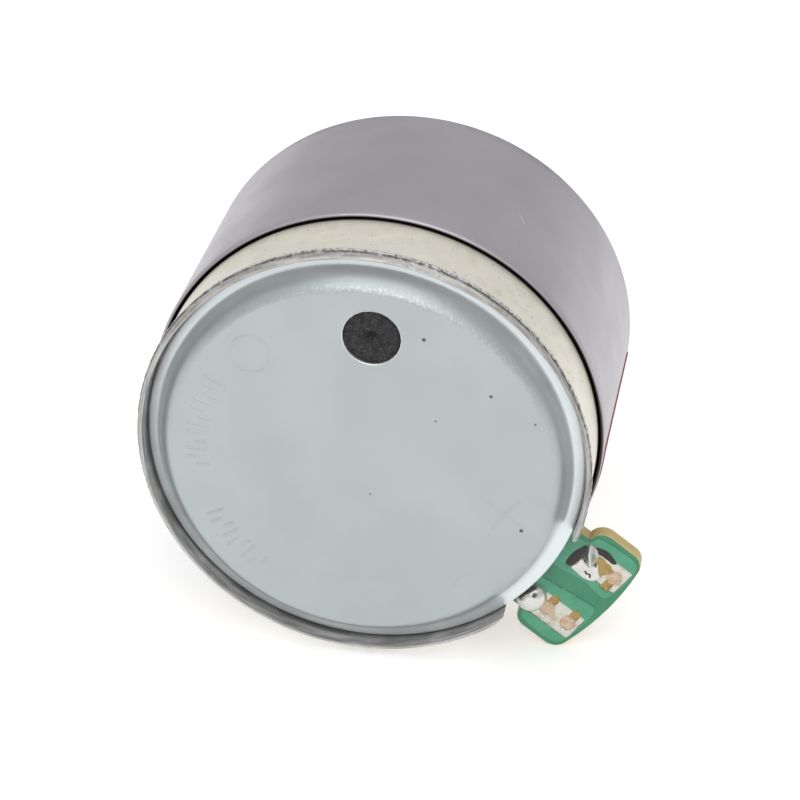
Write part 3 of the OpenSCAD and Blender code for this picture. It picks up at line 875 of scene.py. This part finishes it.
def cover_points():
    """Rings of points, close together on the shoulder, and a fine patch at each mark."""
    points = []
    shoulder = list(np.arange(14.0, COVER_R - 0.25, 0.075))
    edge = [COVER_R - inset for inset in (0.2, 0.16, 0.12, 0.08)]
    for r in shoulder + edge:
        points += circle(0, 0, r, 900)
    coarse = [p for r in np.arange(0.5, 14.0, 0.5) for p in circle(0, 0, r, int(12 * r) + 8)]
    fine = []
    step = 0.075
    for a, b, _ in strokes():
        half = (abs(b[0] - a[0]) / 2 + 0.3, abs(b[1] - a[1]) / 2 + 0.3)
        cx, cz = (a[0] + b[0]) / 2, (a[1] + b[1]) / 2
        patch = grid(cx - half[0], cx + half[0], cz - half[1], cz + half[1], step)
        fine += [p for p in patch if to_segment(np.array(p[0]), np.array(p[1]), a, b) < 0.28]
    for dr in np.arange(-0.3, 0.31, step):
        fine += circle(*RING_AT, RING_R + dr, 110)
    for (cx, cz), size in STAINS:
        fine += [p for q in (0.3, 0.6, 0.85, 1.1, 1.5) for p in circle(cx, cz, q * size, 22)] + [(cx, cz)]
    fine = [p for p in fine if math.hypot(*p) < 13.99]
    blocked = {(round(x / 0.5), round(z / 0.5)) for x, z in fine}
    coarse = [p for p in coarse if (round(p[0] / 0.5), round(p[1] / 0.5)) not in blocked]
    outside_hole = HOLE_R + 0.75
    coarse = [p for p in coarse if math.hypot(p[0] - HOLE.x, p[1] - HOLE.z) > outside_hole]
    for dr in (0.015, 0.035, 0.055, 0.08, 0.11, 0.16, 0.3, 0.5):
        fine += circle(HOLE.x, HOLE.z, HOLE_R + dr, 160)
    return points + coarse + fine


def cover_rim(angle):
    """The cover's cut edge, a little uneven."""
    x, z = polar(COVER_R, angle)
    ragged = noise.fractal(Vector((x, z, 0)) / 0.4, 0.8, 2.0, 3)
    return cover_reach(math.cos(math.radians(angle))) - 0.012 + 0.014 * ragged


def make_cover():
    sectors = 1200
    rims = []
    for inset in (0, 0.015, 0.04):
        rims.append([polar(cover_rim(360 * k / sectors) - inset, 360 * k / sectors) for k in range(sectors)])
    hole = circle(HOLE.x, HOLE.z, HOLE_R, 160)

    def keep(x, z):
        return np.hypot(x - HOLE.x, z - HOLE.z) > HOLE_R - 0.01

    def back(x, z, face):
        return np.minimum(face + COVER_T, LEDGE)

    points = cover_points() + rims[1] + rims[2]
    cover = plate("cover_plate", [rims[0], hole], points, keep, cover_face, back, 40)

    # Painted highlight: speckled light on the rounded rim, a bright line just outside the valley that is
    # strongest near the top, and a patch on the upper shoulder.
    def painted_glint(x, z, s):
        r = np.hypot(x, z)
        angle = np.degrees(np.arctan2(z, x))
        rim = smooth((r - cover_reach(x / np.maximum(r, 1)) + 0.2) / 0.1)
        line = bell(r - VALLEY_R - 0.12, 0.07) * (0.35 + 0.5 * bell(angle - 70, 60))
        return 0.5 * rim + line + 0.4 * bell(angle - 75, 45) * bell(r - 15.2, 0.3)

    # Painted highlight: a bright ring on the punched hole's rounded edge.
    def bare(x, z, s):
        return 0.7 * smooth((0.09 - np.hypot(x - HOLE.x, z - HOLE.z) + HOLE_R) / 0.05) * (s < FLAT + 0.3)

    def stain(x, z, s):
        spots = [smooth((size - np.hypot(x - cx, z - cz)) / (0.5 * size)) for (cx, cz), size in STAINS]
        return np.max(spots, axis=0) * (s < FLAT + 0.3)

    # Painted light: the outer ring and valley are made lighter, standing in for the light they reflect.
    def drawn(x, z, s):
        return 0.85 * smooth((np.hypot(x, z) - 15.7) / 0.5)

    mark(cover, "drawn", drawn)
    mark(cover, "painted_glint", painted_glint)
    mark(cover, "bare", bare)
    mark(cover, "stain", stain)
    settle(cover, "stator", cover_steel(), ["rear_cover"])


def make_plug():
    """A rubber plug, pulled in at its middle, with soft creases running out from there."""
    centre = (HOLE.x - 0.05, HOLE.z + 0.15)
    rings = [p for r in np.arange(0.06, PLUG_R - 0.03, 0.06) for p in circle(HOLE.x, HOLE.z, r, 130)]

    def face(x, z):
        r = np.hypot(x - HOLE.x, z - HOLE.z)
        dx, dz = x - centre[0], z - centre[1]
        d, a = np.hypot(dx, dz), np.arctan2(dz, dx)
        s = PLUG_TOP - 0.04 + 0.16 * (np.clip(r / PLUG_R, 0, 1)) ** 10
        s = s + 0.3 * bell(d, 0.32) + 0.08 * bell(d, 0.9)
        fold = np.cos(3 * a + 0.8) ** 12 + 0.6 * np.cos(2 * a - 0.9) ** 16
        s = s + 0.1 * fold * bell(d - 0.35, 0.4)
        return s + 0.05 * grain(x, 0 * x, z, 0.35, 3) + 0.02 * grain(x, 0 * x + 7, z, 0.1, 1)

    def back(x, z, top):
        return np.full(len(x), PLUG_END)

    outline = circle(HOLE.x, HOLE.z, PLUG_R - 0.01, 130)
    plug = plate("plug_foam", [outline], rings + [(HOLE.x, HOLE.z)], lambda x, z: x == x, face, back, 60)
    settle(plug, "adjust_plug", plug_rubber(), ["adjust_plug"])


# ---- circuit board ----

TAB_HALF_W = 5.75
NECK_HALF_W = 4.45
TAB_ROUND = 1.3
TAB_REACH = 24
TAB_INNER_U = 20
BOARD_R = 16.6
HUB_HOLE_R = 4.4
PAD = {"u": (19.15, 23.35), "v": (1.75, 4.3)}
KEY_R = 0.64
NECK_W = 0.36
NECK_END = 1.5
COPPER_CORNERS = [
    [(15, 0.55), (18.2, 0.66), (20.8, 1.02), (22.85, 0.9), (23.35, 1.5), (23.5, 3.2), (23.3, 4.75),
     (22.75, 5.3), (21.5, 5.4), (19.3, 5.1), (18.5, 4.15), (15, 4.15)],
    [(15, -1.0), (18.4, -0.82), (22.6, -0.3), (23.3, -0.6), (23.5, -1.6), (23.45, -3.5),
     (23.2, -4.75), (22.6, -5.25), (21.3, -5.35), (19.3, -5.1), (18.5, -4.15), (15, -4.15)],
]


def tab_edge(inset):
    """The tab's outline in its own axes, from its lower root round to its upper root."""
    corner_v = TAB_HALF_W - TAB_ROUND
    corner_u = math.sqrt((TAB_REACH - TAB_ROUND) ** 2 - corner_v ** 2)
    turn = math.degrees(math.atan2(corner_v, corner_u))
    r = TAB_ROUND - inset
    neck = NECK_HALF_W - inset
    root = math.sqrt((BOARD_R - inset) ** 2 - neck ** 2)
    inner = [(root, neck), (TAB_INNER_U - r - 0.5, neck)] + arc(TAB_INNER_U, corner_v, r, 180, 90, 8)
    outer = arc(corner_u, corner_v, r, 90, turn, 8)
    middle_arc = arc(0, 0, TAB_REACH - inset, turn, -turn, 24)[1:-1]
    half = inner + outer
    lower = [(u, -v) for u, v in reversed(half)]
    return list(reversed(half + middle_arc + lower))


def board_edge(inset=0.0):
    """The whole board's outline in X and Z, anticlockwise."""
    tab = [on_tab(u, v) for u, v in tab_edge(inset)]
    root = math.degrees(math.atan2(NECK_HALF_W - inset, tab_edge(inset)[-1][0]))
    rest = arc(0, 0, BOARD_R - inset, TAB_ANGLE + root, TAB_ANGLE + 360 - root, 160)[1:-1]
    return tab + rest


def board_loops(inset=0.0):
    return [board_edge(inset), circle(0, 0, HUB_HOLE_R + inset, 64)]


def wire_hole_loops(extra=0.0, n=40):
    return [circle(*on_tab(u, v), WIRE_HOLE_R + extra, n) for u, v in WIRE_HOLES]


def off_holes(x, z, extra=0.0):
    """Which points lie clear of the wire holes."""
    clear = np.ones(len(x), bool)
    for u, v in WIRE_HOLES:
        cx, cz = on_tab(u, v)
        clear &= np.hypot(x - cx, z - cz) > WIRE_HOLE_R + extra - 0.01
    return clear


def tab_grid_axes(step):
    return grid(14.5, 24, -5.8, 5.8, step)


def tab_grid(step):
    return [on_tab(u, v) for u, v in tab_grid_axes(step)]


def inner_grid():
    return [p for r in np.arange(5.2, 16.2, 1.1) for p in circle(0, 0, r, int(5 * r))]


def keyhole(x, z, u0, v0):
    """Which points lie in the bare ring round a wire hole or in its neck, which runs to the middle."""
    u, v = tab_axes(x, z)
    side = 1 if v0 > 0 else -1
    ring = np.hypot(u - u0, v - v0) < KEY_R
    neck = (np.abs(u - u0) < NECK_W) & (side * v < side * v0) & (side * v > NECK_END)
    return ring | neck


def in_pad(u, v, side):
    """Distance inside the tinned area on one side."""
    corner = 0.25
    du = np.minimum(u - PAD["u"][0], PAD["u"][1] - u)
    dv = np.minimum(side * v - PAD["v"][0], PAD["v"][1] - side * v)
    short = np.minimum(du, dv)
    away = corner - np.hypot(np.clip(corner - du, 0, None), np.clip(corner - dv, 0, None))
    return np.where((du < corner) & (dv < corner), away, short)


def beside(loop, offset):
    """Points along a closed outline, moved sideways by offset."""
    made = []
    for (x0, y0), (x1, y1), (x2, y2) in zip(loop[-1:] + loop[:-1], loop, loop[1:] + loop[:1]):
        along = math.hypot(x2 - x0, y2 - y0) or 1
        made.append((x1 - offset * (y2 - y0) / along, y1 + offset * (x2 - x0) / along))
    return made


def copper_areas():
    return [rounded(corners, 14) for corners in COPPER_CORNERS]


def make_board():
    lines = board_edge()

    def top(x, z):
        return BOARD_TOP + 0.05 * smooth((0.06 - depth_in(x, z, lines)) / 0.06)

    def back(x, z, face):
        return BOARD_END - (face - BOARD_TOP)

    def keep(x, z):
        return within(x, z, lines) & (np.hypot(x, z) > HUB_HOLE_R) & off_holes(x, z)

    loops = board_loops() + wire_hole_loops()
    points = board_edge(0.07) + tab_grid(0.8) + inner_grid()
    board = plate("board_plate", loops, points, keep, top, back)
    settle(board, "stator", laminate(), ["governor_board"])


def copper_share(x, z):
    """1 where there is copper under the lacquer."""
    u, v = tab_axes(x, z)
    return np.max([smooth(depth_in(u, v, area) / 0.12 + 0.5) for area in copper_areas()], axis=0)


def pad_loop(side, inset=0.0):
    """A tinned area's outline, with round corners."""
    r = 0.25
    (u0, u1), (v0, v1) = PAD["u"], PAD["v"]
    u0, u1, v0, v1 = u0 + inset, u1 - inset, v0 + inset, v1 - inset
    loop = arc(u1 - r, v1 - r, r, 0, 90, 5) + arc(u0 + r, v1 - r, r, 90, 180, 5)
    loop += arc(u0 + r, v0 + r, r, 180, 270, 5) + arc(u1 - r, v0 + r, r, 270, 360, 5)
    return [on_tab(u, side * v) for u, v in loop]


def make_mask():
    lines = board_edge(0.05)
    relief = 0.05

    def top(x, z):
        fall = 0.04 * smooth((0.12 - depth_in(x, z, lines)) / 0.12)
        return PART_FACE - relief * copper_share(x, z) + fall + 0.008 * grain(x, 0 * x, z, 0.8, 2)

    def back(x, z, face):
        return np.full(len(x), BOARD_TOP - 0.002)

    def keep(x, z):
        u, v = tab_axes(x, z)
        bare = (in_pad(u, v, 1) > 0) | (in_pad(u, v, -1) > 0)
        for u0, v0 in WIRE_HOLES:
            bare |= keyhole(x, z, u0, v0)
        return within(x, z, lines) & (np.hypot(x, z) > HUB_HOLE_R + 0.05) & ~bare

    loops = board_loops(0.05) + [pad_loop(1), pad_loop(-1)]
    for u, v in WIRE_HOLES:
        loops.append(keyhole_loop(u, v))
    areas = copper_areas()
    u, v = np.array(tab_grid_axes(0.13)).T
    away = np.min([np.abs(depth_in(u, v, area)) for area in areas], axis=0)
    points = [on_tab(a, b) for a, b, d in zip(u, v, away) if d > 0.12]
    for area in areas:
        for offset in (-0.09, -0.06, -0.02, 0.02, 0.06, 0.09):
            points += [on_tab(a, b) for a, b in beside(area, offset)]
    mask = plate("mask_film", loops, points + inner_grid(), keep, top, back)

    def copper(x, z, s):
        return copper_share(x, z)

    def step(x, z, s):
        share = copper_share(x, z)
        return 4 * share * (1 - share) * 0.8

    mark(mask, "copper", copper)
    mark(mask, "step", step)
    settle(mask, "stator", mask_lacquer(), ["solder_mask"])


def keyhole_loop(u0, v0, grow=0.0):
    """Outline of the bare ring round a wire hole with its neck."""
    side = 1 if v0 > 0 else -1
    ring_r, neck_w, end = KEY_R + grow, NECK_W + grow, NECK_END - grow
    a = math.degrees(math.asin(neck_w / ring_r))
    loop = arc(u0, abs(v0), ring_r, -90 + a, 270 - a, 28)
    loop += [(u0 - neck_w, end + 0.15), (u0 - neck_w + 0.15, end), (u0 + neck_w - 0.15, end),
             (u0 + neck_w, end + 0.15)]
    return [on_tab(u, side * v) for u, v in loop]


def make_pads():
    made = []
    for side, name in ((1, "pad_positive"), (-1, "pad_negative")):
        holes = [(u, v) for u, v in WIRE_HOLES if v * side > 0]

        def keep(x, z):
            u, v = tab_axes(x, z)
            inside = in_pad(u, v, side) > 0
            for u0, v0 in holes:
                inside &= ~keyhole(x, z, u0, v0)
            return inside

        def top(x, z):
            u, v = tab_axes(x, z)
            inside = in_pad(u, v, side)
            for u0, v0 in holes:
                near = np.hypot(u - u0, v - v0) - KEY_R
                inside = np.minimum(inside, np.maximum(near, 0))
            return PART_FACE - 0.09 * smooth(inside / 0.22) + 0.02 * grain(x, 0 * x, z, 0.5, 3)

        def back(x, z, face):
            return np.full(len(x), BOARD_TOP - 0.003)

        loops = [pad_loop(side)] + [keyhole_loop(u, v) for u, v in holes]
        points = [on_tab(u, v * side) for u, v in grid(*PAD["u"], *PAD["v"], 0.09)]
        made.append(plate(name, loops, points, keep, top, back, 50))
    for pad in made:
        settle(pad, "stator", tin_paint, ["tinned_pads"])


def film(name, loop, height, lift=0.0, wave=0.01):
    """A thin film inside a closed outline given in X and Z: pools of set resin, and the dark sheets that
    paint a reflection beside the positive joint.
    """
    xs, zs = [p[0] for p in loop], [p[1] for p in loop]
    points = grid(min(xs), max(xs), min(zs), max(zs), 0.1)

    def top(x, z):
        full = smooth(depth_in(x, z, loop) / 0.25)
        return BOARD_TOP - lift - 0.004 - height * full - wave * grain(x, 0 * x, z, 0.4, 2) * full

    def back(x, z, face):
        return np.full(len(x), BOARD_TOP - lift + 0.01)

    return plate(name, [loop], points, lambda x, z: within(x, z, loop), top, back, 60)


def rounded(points, steps=6):
    """A smooth closed curve through a few points."""
    n = len(points)
    made = []
    for i in range(n):
        p0, p1, p2, p3 = (points[(i + k) % n] for k in (-1, 0, 1, 2))
        for j in range(steps):
            t = j / steps
            made.append(tuple(0.5 * (2 * b + (c - a) * t + (2 * a - 5 * b + 4 * c - d) * t * t
                                     + (3 * b - a - 3 * c + d) * t ** 3)
                              for a, b, c, d in zip(p0, p1, p2, p3)))
    return made


def on_board(points):
    return [on_tab(u, v) for u, v in points]


def make_flux():
    amber = flux("amber_flux", srgb(176, 150, 88), srgb(150, 118, 56))
    blush = flux("blush_flux", srgb(210, 186, 160), srgb(186, 154, 126))
    # This dark film uses the flux look but paints a dark reflection: the dark surroundings mirrored in the
    # positive joint's far slopes.
    painted_dark = flux("dark_reflection_film", srgb(30, 26, 14), srgb(6, 6, 4))
    for i, (u, v) in enumerate(WIRE_HOLES):
        if (u, v) == (WIRE_HOLES[0][0], abs(WIRE_HOLES[0][1])):
            continue
        neck = film(f"flux_neck_{i}", keyhole_loop(u, v, -0.015), 0.03)
        settle(neck, "stator", amber)
        cx, cz = on_tab(u, v)
        fill = film(f"flux_fill_{i}", circle(cx, cz, WIRE_HOLE_R + 0.02, 40), 0.03, 0.035)
        settle(fill, "stator", blush)
    pool = rounded(on_board([(19.9, 3.7), (21.2, 3.85), (22.0, 3.5), (21.75, 2.8), (21.4, 2.1), (20.4, 2.6)]))
    settle(film("flux_pool", pool, 0.05, 0.14), "stator", amber)
    # Painted dark reflection: two dark sheets along the far sides of the positive joint.
    left = rounded(on_board([(18.7, 1.45), (18.5, 2.34), (18.6, 3.2), (18.85, 3.9), (19.3, 3.4),
                             (19.35, 2.4), (19.3, 1.6)]), 5)
    right = rounded(on_board([(19.3, 4.1), (19.95, 4.5), (20.7, 4.6), (21.75, 4.2), (21.5, 3.85),
                              (20.6, 3.85), (19.8, 3.8)]), 5)
    settle(film("dark_reflection_left", left, 0.06, 0.11, 0.04), "stator", painted_dark)
    settle(film("dark_reflection_right", right, 0.06, 0.11, 0.04), "stator", painted_dark)


def drop(name, outline, height, body, painted_dark):
    """A lump of solder. outline is its foot in the tab's axes, body its height over the foot from 0 to 1."""
    rings = 26
    foot = rounded(outline, 9)
    cu = sum(p[0] for p in foot) / len(foot)
    cv = sum(p[1] for p in foot) / len(foot)
    n = len(foot)
    base = PART_FACE - 0.03
    points = []
    for i in range(rings):
        share = 1 - i / rings
        for u, v in foot:
            pu, pv = cu + share * (u - cu), cv + share * (v - cv)
            x, z = on_tab(pu, pv)
            rough = 0.02 * noise.noise(Vector((pu, pv, 3)) / 0.4)
            full = (1 - share ** 2.4) ** 0.55
            s = base - height * full * body(pu, pv) - rough * full
            points.append((x, s + RIM_Y, z))
    x, z = on_tab(cu, cv)
    points.append((x, base - height * body(cu, cv) + RIM_Y, z))
    points += [(x, BOARD_TOP - 0.01 + RIM_Y, z) for x, z in (on_tab(u, v) for u, v in foot)]
    tip, below = rings * n, rings * n + 1
    faces = []
    for i in range(rings - 1):
        a, b = i * n, (i + 1) * n
        faces += [(a + k, a + (k + 1) % n, b + (k + 1) % n, b + k) for k in range(n)]
    last = (rings - 1) * n
    faces += [(last + k, last + (k + 1) % n, tip) for k in range(n)]
    faces += [(below + k, below + (k + 1) % n, (k + 1) % n, k) for k in range(n)]
    faces.append(tuple(below + k for k in range(n)))
    made = piece(name, points, faces, 70)

    def dark(x, z, s):
        return painted_dark(*tab_axes(x, z))

    mark(made, "painted_dark", dark)
    return made


def solder_stub():
    """The positive joint's solder where it fills the wire hole and stands out at the far side."""
    stub_r, stands_out = WIRE_HOLE_R - 0.05, 0.3
    cx, cz = on_tab(20.3, 3.0)

    def face(x, z):
        return np.full(len(x), BOARD_TOP)

    def back(x, z, top):
        share = np.hypot(x - cx, z - cz) / stub_r
        return BOARD_END + stands_out * (1 - 0.8 * share ** 3) - 0.01 * np.abs(grain(x, 0 * x, z, 0.3))

    rings = [p for share in (0.2, 0.4, 0.6, 0.75, 0.88, 0.96) for p in circle(cx, cz, share * stub_r, 40)]
    outline = circle(cx, cz, stub_r, 40)
    return plate("solder_stub", [outline], rings + [(cx, cz)], lambda x, z: x == x, face, back, 60)


def make_solder():
    metal = solder_metal()

    def horned(u, v):
        horn = 0.0
        for i in range(7):
            t = i / 6
            centre_u, centre_v = 19.95 - 0.75 * t, 3.25 + 0.7 * t
            away = math.hypot(u - centre_u, v - centre_v)
            horn = max(horn, (1.9 - 0.2 * t) * math.exp(-(away / 0.34) ** 2))
        hollow = 0.35 * math.exp(-(math.hypot(u - 20.6, v - 1.95) / 0.4) ** 2)
        return 0.75 + horn - hollow

    # Painted dark reflection: a dark wriggle in the joint's hollow and a dark line round the foot of its
    # horn.
    def dark_reflection_spots(u, v):
        wriggle = to_path(u, v, [(20.25, 2.1), (20.5, 1.9), (20.75, 2.05), (20.9, 1.85)])
        foot = to_path(u, v, [(20.1, 2.75), (20.35, 3.3), (20.6, 3.0)])
        return np.maximum(smooth((0.12 - wriggle) / 0.08), 0.9 * smooth((0.12 - foot) / 0.08))

    outline = [(19.1, 1.5), (19.9, 1.3), (20.8, 1.32), (21.4, 1.6), (21.6, 2.25), (21.1, 2.75), (20.6, 3.35),
               (20.1, 4.0), (19.4, 4.35), (18.95, 4.1), (19.1, 3.4), (19.15, 2.4)]
    joint = drop("solder_joint", outline, 0.55, horned, dark_reflection_spots)
    settle(joint, "stator", metal, ["solder_joint_positive"])
    settle(solder_stub(), "stator", metal, ["solder_joint_positive"])

    def domed(u, v):
        return 1.0

    # A dark spot painted on the dome near its rim, through the same dark mask.
    def rim_spot(u, v):
        return 0.9 * smooth((0.28 - np.hypot(u - 18.55, v + 2.2)) / 0.15)

    outline = [(18.75 + 1.22 * math.cos(a), -2.95 + 1.34 * math.sin(a))
               for a in (2 * math.pi * k / 12 for k in range(12))]
    dome = drop("solder_dome", outline, 1.05, domed, rim_spot)
    settle(dome, "stator", metal, ["solder_joint_negative"])
    beads = ((20.6, -3.82), (22.62, -3.72))
    for i, (bu, bv) in enumerate(beads):
        foot = [(bu + 0.26 * math.cos(a), bv + 0.16 * math.sin(a))
                for a in (2 * math.pi * k / 8 for k in range(8))]
        bead = drop(f"solder_bead_{i}", foot, 0.16, domed, lambda u, v: 0 * u)
        settle(bead, "stator", metal)


# ---- CAD pieces that keep their shape ----

def finish_nodes():
    """Procedural materials for the CAD nodes that are shown as they are."""
    brown = plain("phenolic", srgb(112, 72, 48), srgb(88, 54, 36), 1.5, 0.5)
    black_epoxy = plain("epoxy", srgb(44, 44, 46), srgb(32, 32, 34), 0.8, 0.55)
    bronze = plain("spring_bronze", srgb(214, 170, 112), srgb(196, 148, 92), 1.0, 0.28, 0.003, Metallic=1.0)
    nylon = plain("nylon", srgb(236, 234, 226), srgb(224, 220, 210), 1.0, 0.42)
    fibre = plain("fibre", srgb(64, 124, 84), srgb(44, 98, 64), 0.6, 0.6, 0.02)
    looks = {
        "front_bearing": sintered(), "rear_bearing": sintered(), "end_bracket": brown,
        "ring_magnet": plain("ferrite", srgb(70, 70, 74), srgb(52, 52, 56), 0.7, 0.6, 0.02),
        "brush_arm_positive": bronze, "brush_arm_negative": bronze,
        "brush_tip_positive": black_epoxy, "brush_tip_negative": black_epoxy,
        "trimmer_base": plain("ceramic", srgb(226, 220, 206), srgb(214, 206, 190), 1.0, 0.5),
        "trimmer_wiper": plain("wiper", srgb(222, 214, 194), srgb(206, 196, 172), 1.0, 0.4),
        "governor_ic": black_epoxy, "ic_leads": tin_paint,
        "tantalum_capacitor": plain("resin", srgb(222, 172, 70), srgb(206, 152, 52), 1.0, 0.4),
        "chip_resistors": plain("resistor", srgb(48, 48, 52), srgb(28, 28, 32), 0.8, 0.4),
        "chip_capacitors": plain("chip_ceramic", srgb(176, 148, 116), srgb(160, 132, 100), 0.8, 0.5),
        "shaft": turned_steel(), "armature_core": stacked_steel(),
        "core_insulator_front": fibre, "core_insulator_rear": fibre,
        "commutator_hub": plain("hub", srgb(38, 36, 38), srgb(26, 24, 26), 0.8, 0.5),
        "commutator_segments": plain("copper", srgb(222, 142, 104), srgb(198, 112, 76), 0.7, 0.3, 0.004,
                                     Metallic=1.0),
        "varistor_ring": plain("varistor", srgb(110, 100, 96), srgb(88, 80, 78), 0.5, 0.7, 0.02),
        "thrust_washer_front": nylon, "thrust_washer_rear": nylon,
    }
    wire = enamelled_wire()
    looks.update({name: wire for name in ("coil_a", "coil_b", "coil_c")})
    for name, material in looks.items():
        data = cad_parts[name].data
        data.materials.clear()
        data.materials.append(material)


# ---- stage ----

def make_camera():
    camera = bpy.data.objects.new("camera", bpy.data.cameras.new("camera"))
    camera.data.sensor_width = 36
    camera.data.lens = 120.15
    camera.data.clip_start = 0.005
    camera.location = (0.03505, -0.19821, 0.10760)
    camera.rotation_mode = "QUATERNION"
    camera.rotation_quaternion = Vector((-0.15703, 0.85124, -0.50073)).to_track_quat("-Z", "Y")
    bpy.context.scene.collection.objects.link(camera)
    bpy.context.scene.camera = camera


def make_floor():
    size = 4.0
    mesh = bpy.data.meshes.new("floor")
    corners = [(-size, -size), (size, -size), (size, size), (-size, size)]
    mesh.from_pydata([(x, y, FLOOR_Z * MM - 0.00002) for x, y in corners], [], [(0, 1, 2, 3)])
    floor = bpy.data.objects.new("floor", mesh)
    bpy.context.scene.collection.objects.link(floor)
    paper = plain("floor_paper", srgb(246, 246, 246), srgb(243, 243, 243), 40, 0.85, 0.0)
    shader = paper.node_tree.nodes["Principled BSDF"]
    shader.inputs["Emission Color"].default_value = (1, 1, 1, 1)
    shader.inputs["Emission Strength"].default_value = 0.3
    mesh.materials.append(paper)


def softbox(name, place, size, power):
    """A square lamp, in metres, that faces the motor."""
    data = bpy.data.lights.new(name, "AREA")
    data.size = size
    data.energy = power
    lamp = bpy.data.objects.new(name, data)
    lamp.location = place
    lamp.rotation_mode = "QUATERNION"
    lamp.rotation_quaternion = (-Vector(place)).to_track_quat("-Z", "Y")
    bpy.context.scene.collection.objects.link(lamp)


def make_sky():
    """An even pale grey, a little lighter overhead and low down."""
    world = bpy.data.worlds.new("studio")
    world.use_nodes = True
    bpy.context.scene.world = world
    nodes, links = world.node_tree.nodes, world.node_tree.links
    split = nodes.new("ShaderNodeSeparateXYZ")
    ramp = nodes.new("ShaderNodeValToRGB")
    links.new(nodes.new("ShaderNodeTexCoord").outputs["Generated"], split.inputs[0])
    links.new(split.outputs["Z"], ramp.inputs["Fac"])
    stops = ((0.0, 0.6), (0.15, 0.52), (0.45, 0.5), (0.7, 0.56), (1.0, 0.72))
    while len(ramp.color_ramp.elements) < len(stops):
        ramp.color_ramp.elements.new(0.5)
    for element, (place, grey) in zip(ramp.color_ramp.elements, stops):
        element.position = place
        element.color = (grey, grey, grey, 1)
    back = nodes["Background"]
    links.new(ramp.outputs["Color"], back.inputs["Color"])
    back.inputs["Strength"].default_value = 1.2


make_camera()
bpy.context.scene.view_settings.view_transform = "Standard"
make_floor()
make_sky()
softbox("key", (0.02, -0.60, 0.36), 0.5, 0.6)
softbox("over", (0.0, -0.45, 0.75), 0.8, 2.0)

tin_paint = tin()
make_can()
make_sleeve()
make_label()
make_cover()
make_plug()
make_board()
make_mask()
make_pads()
make_flux()
make_solder()
finish_nodes()
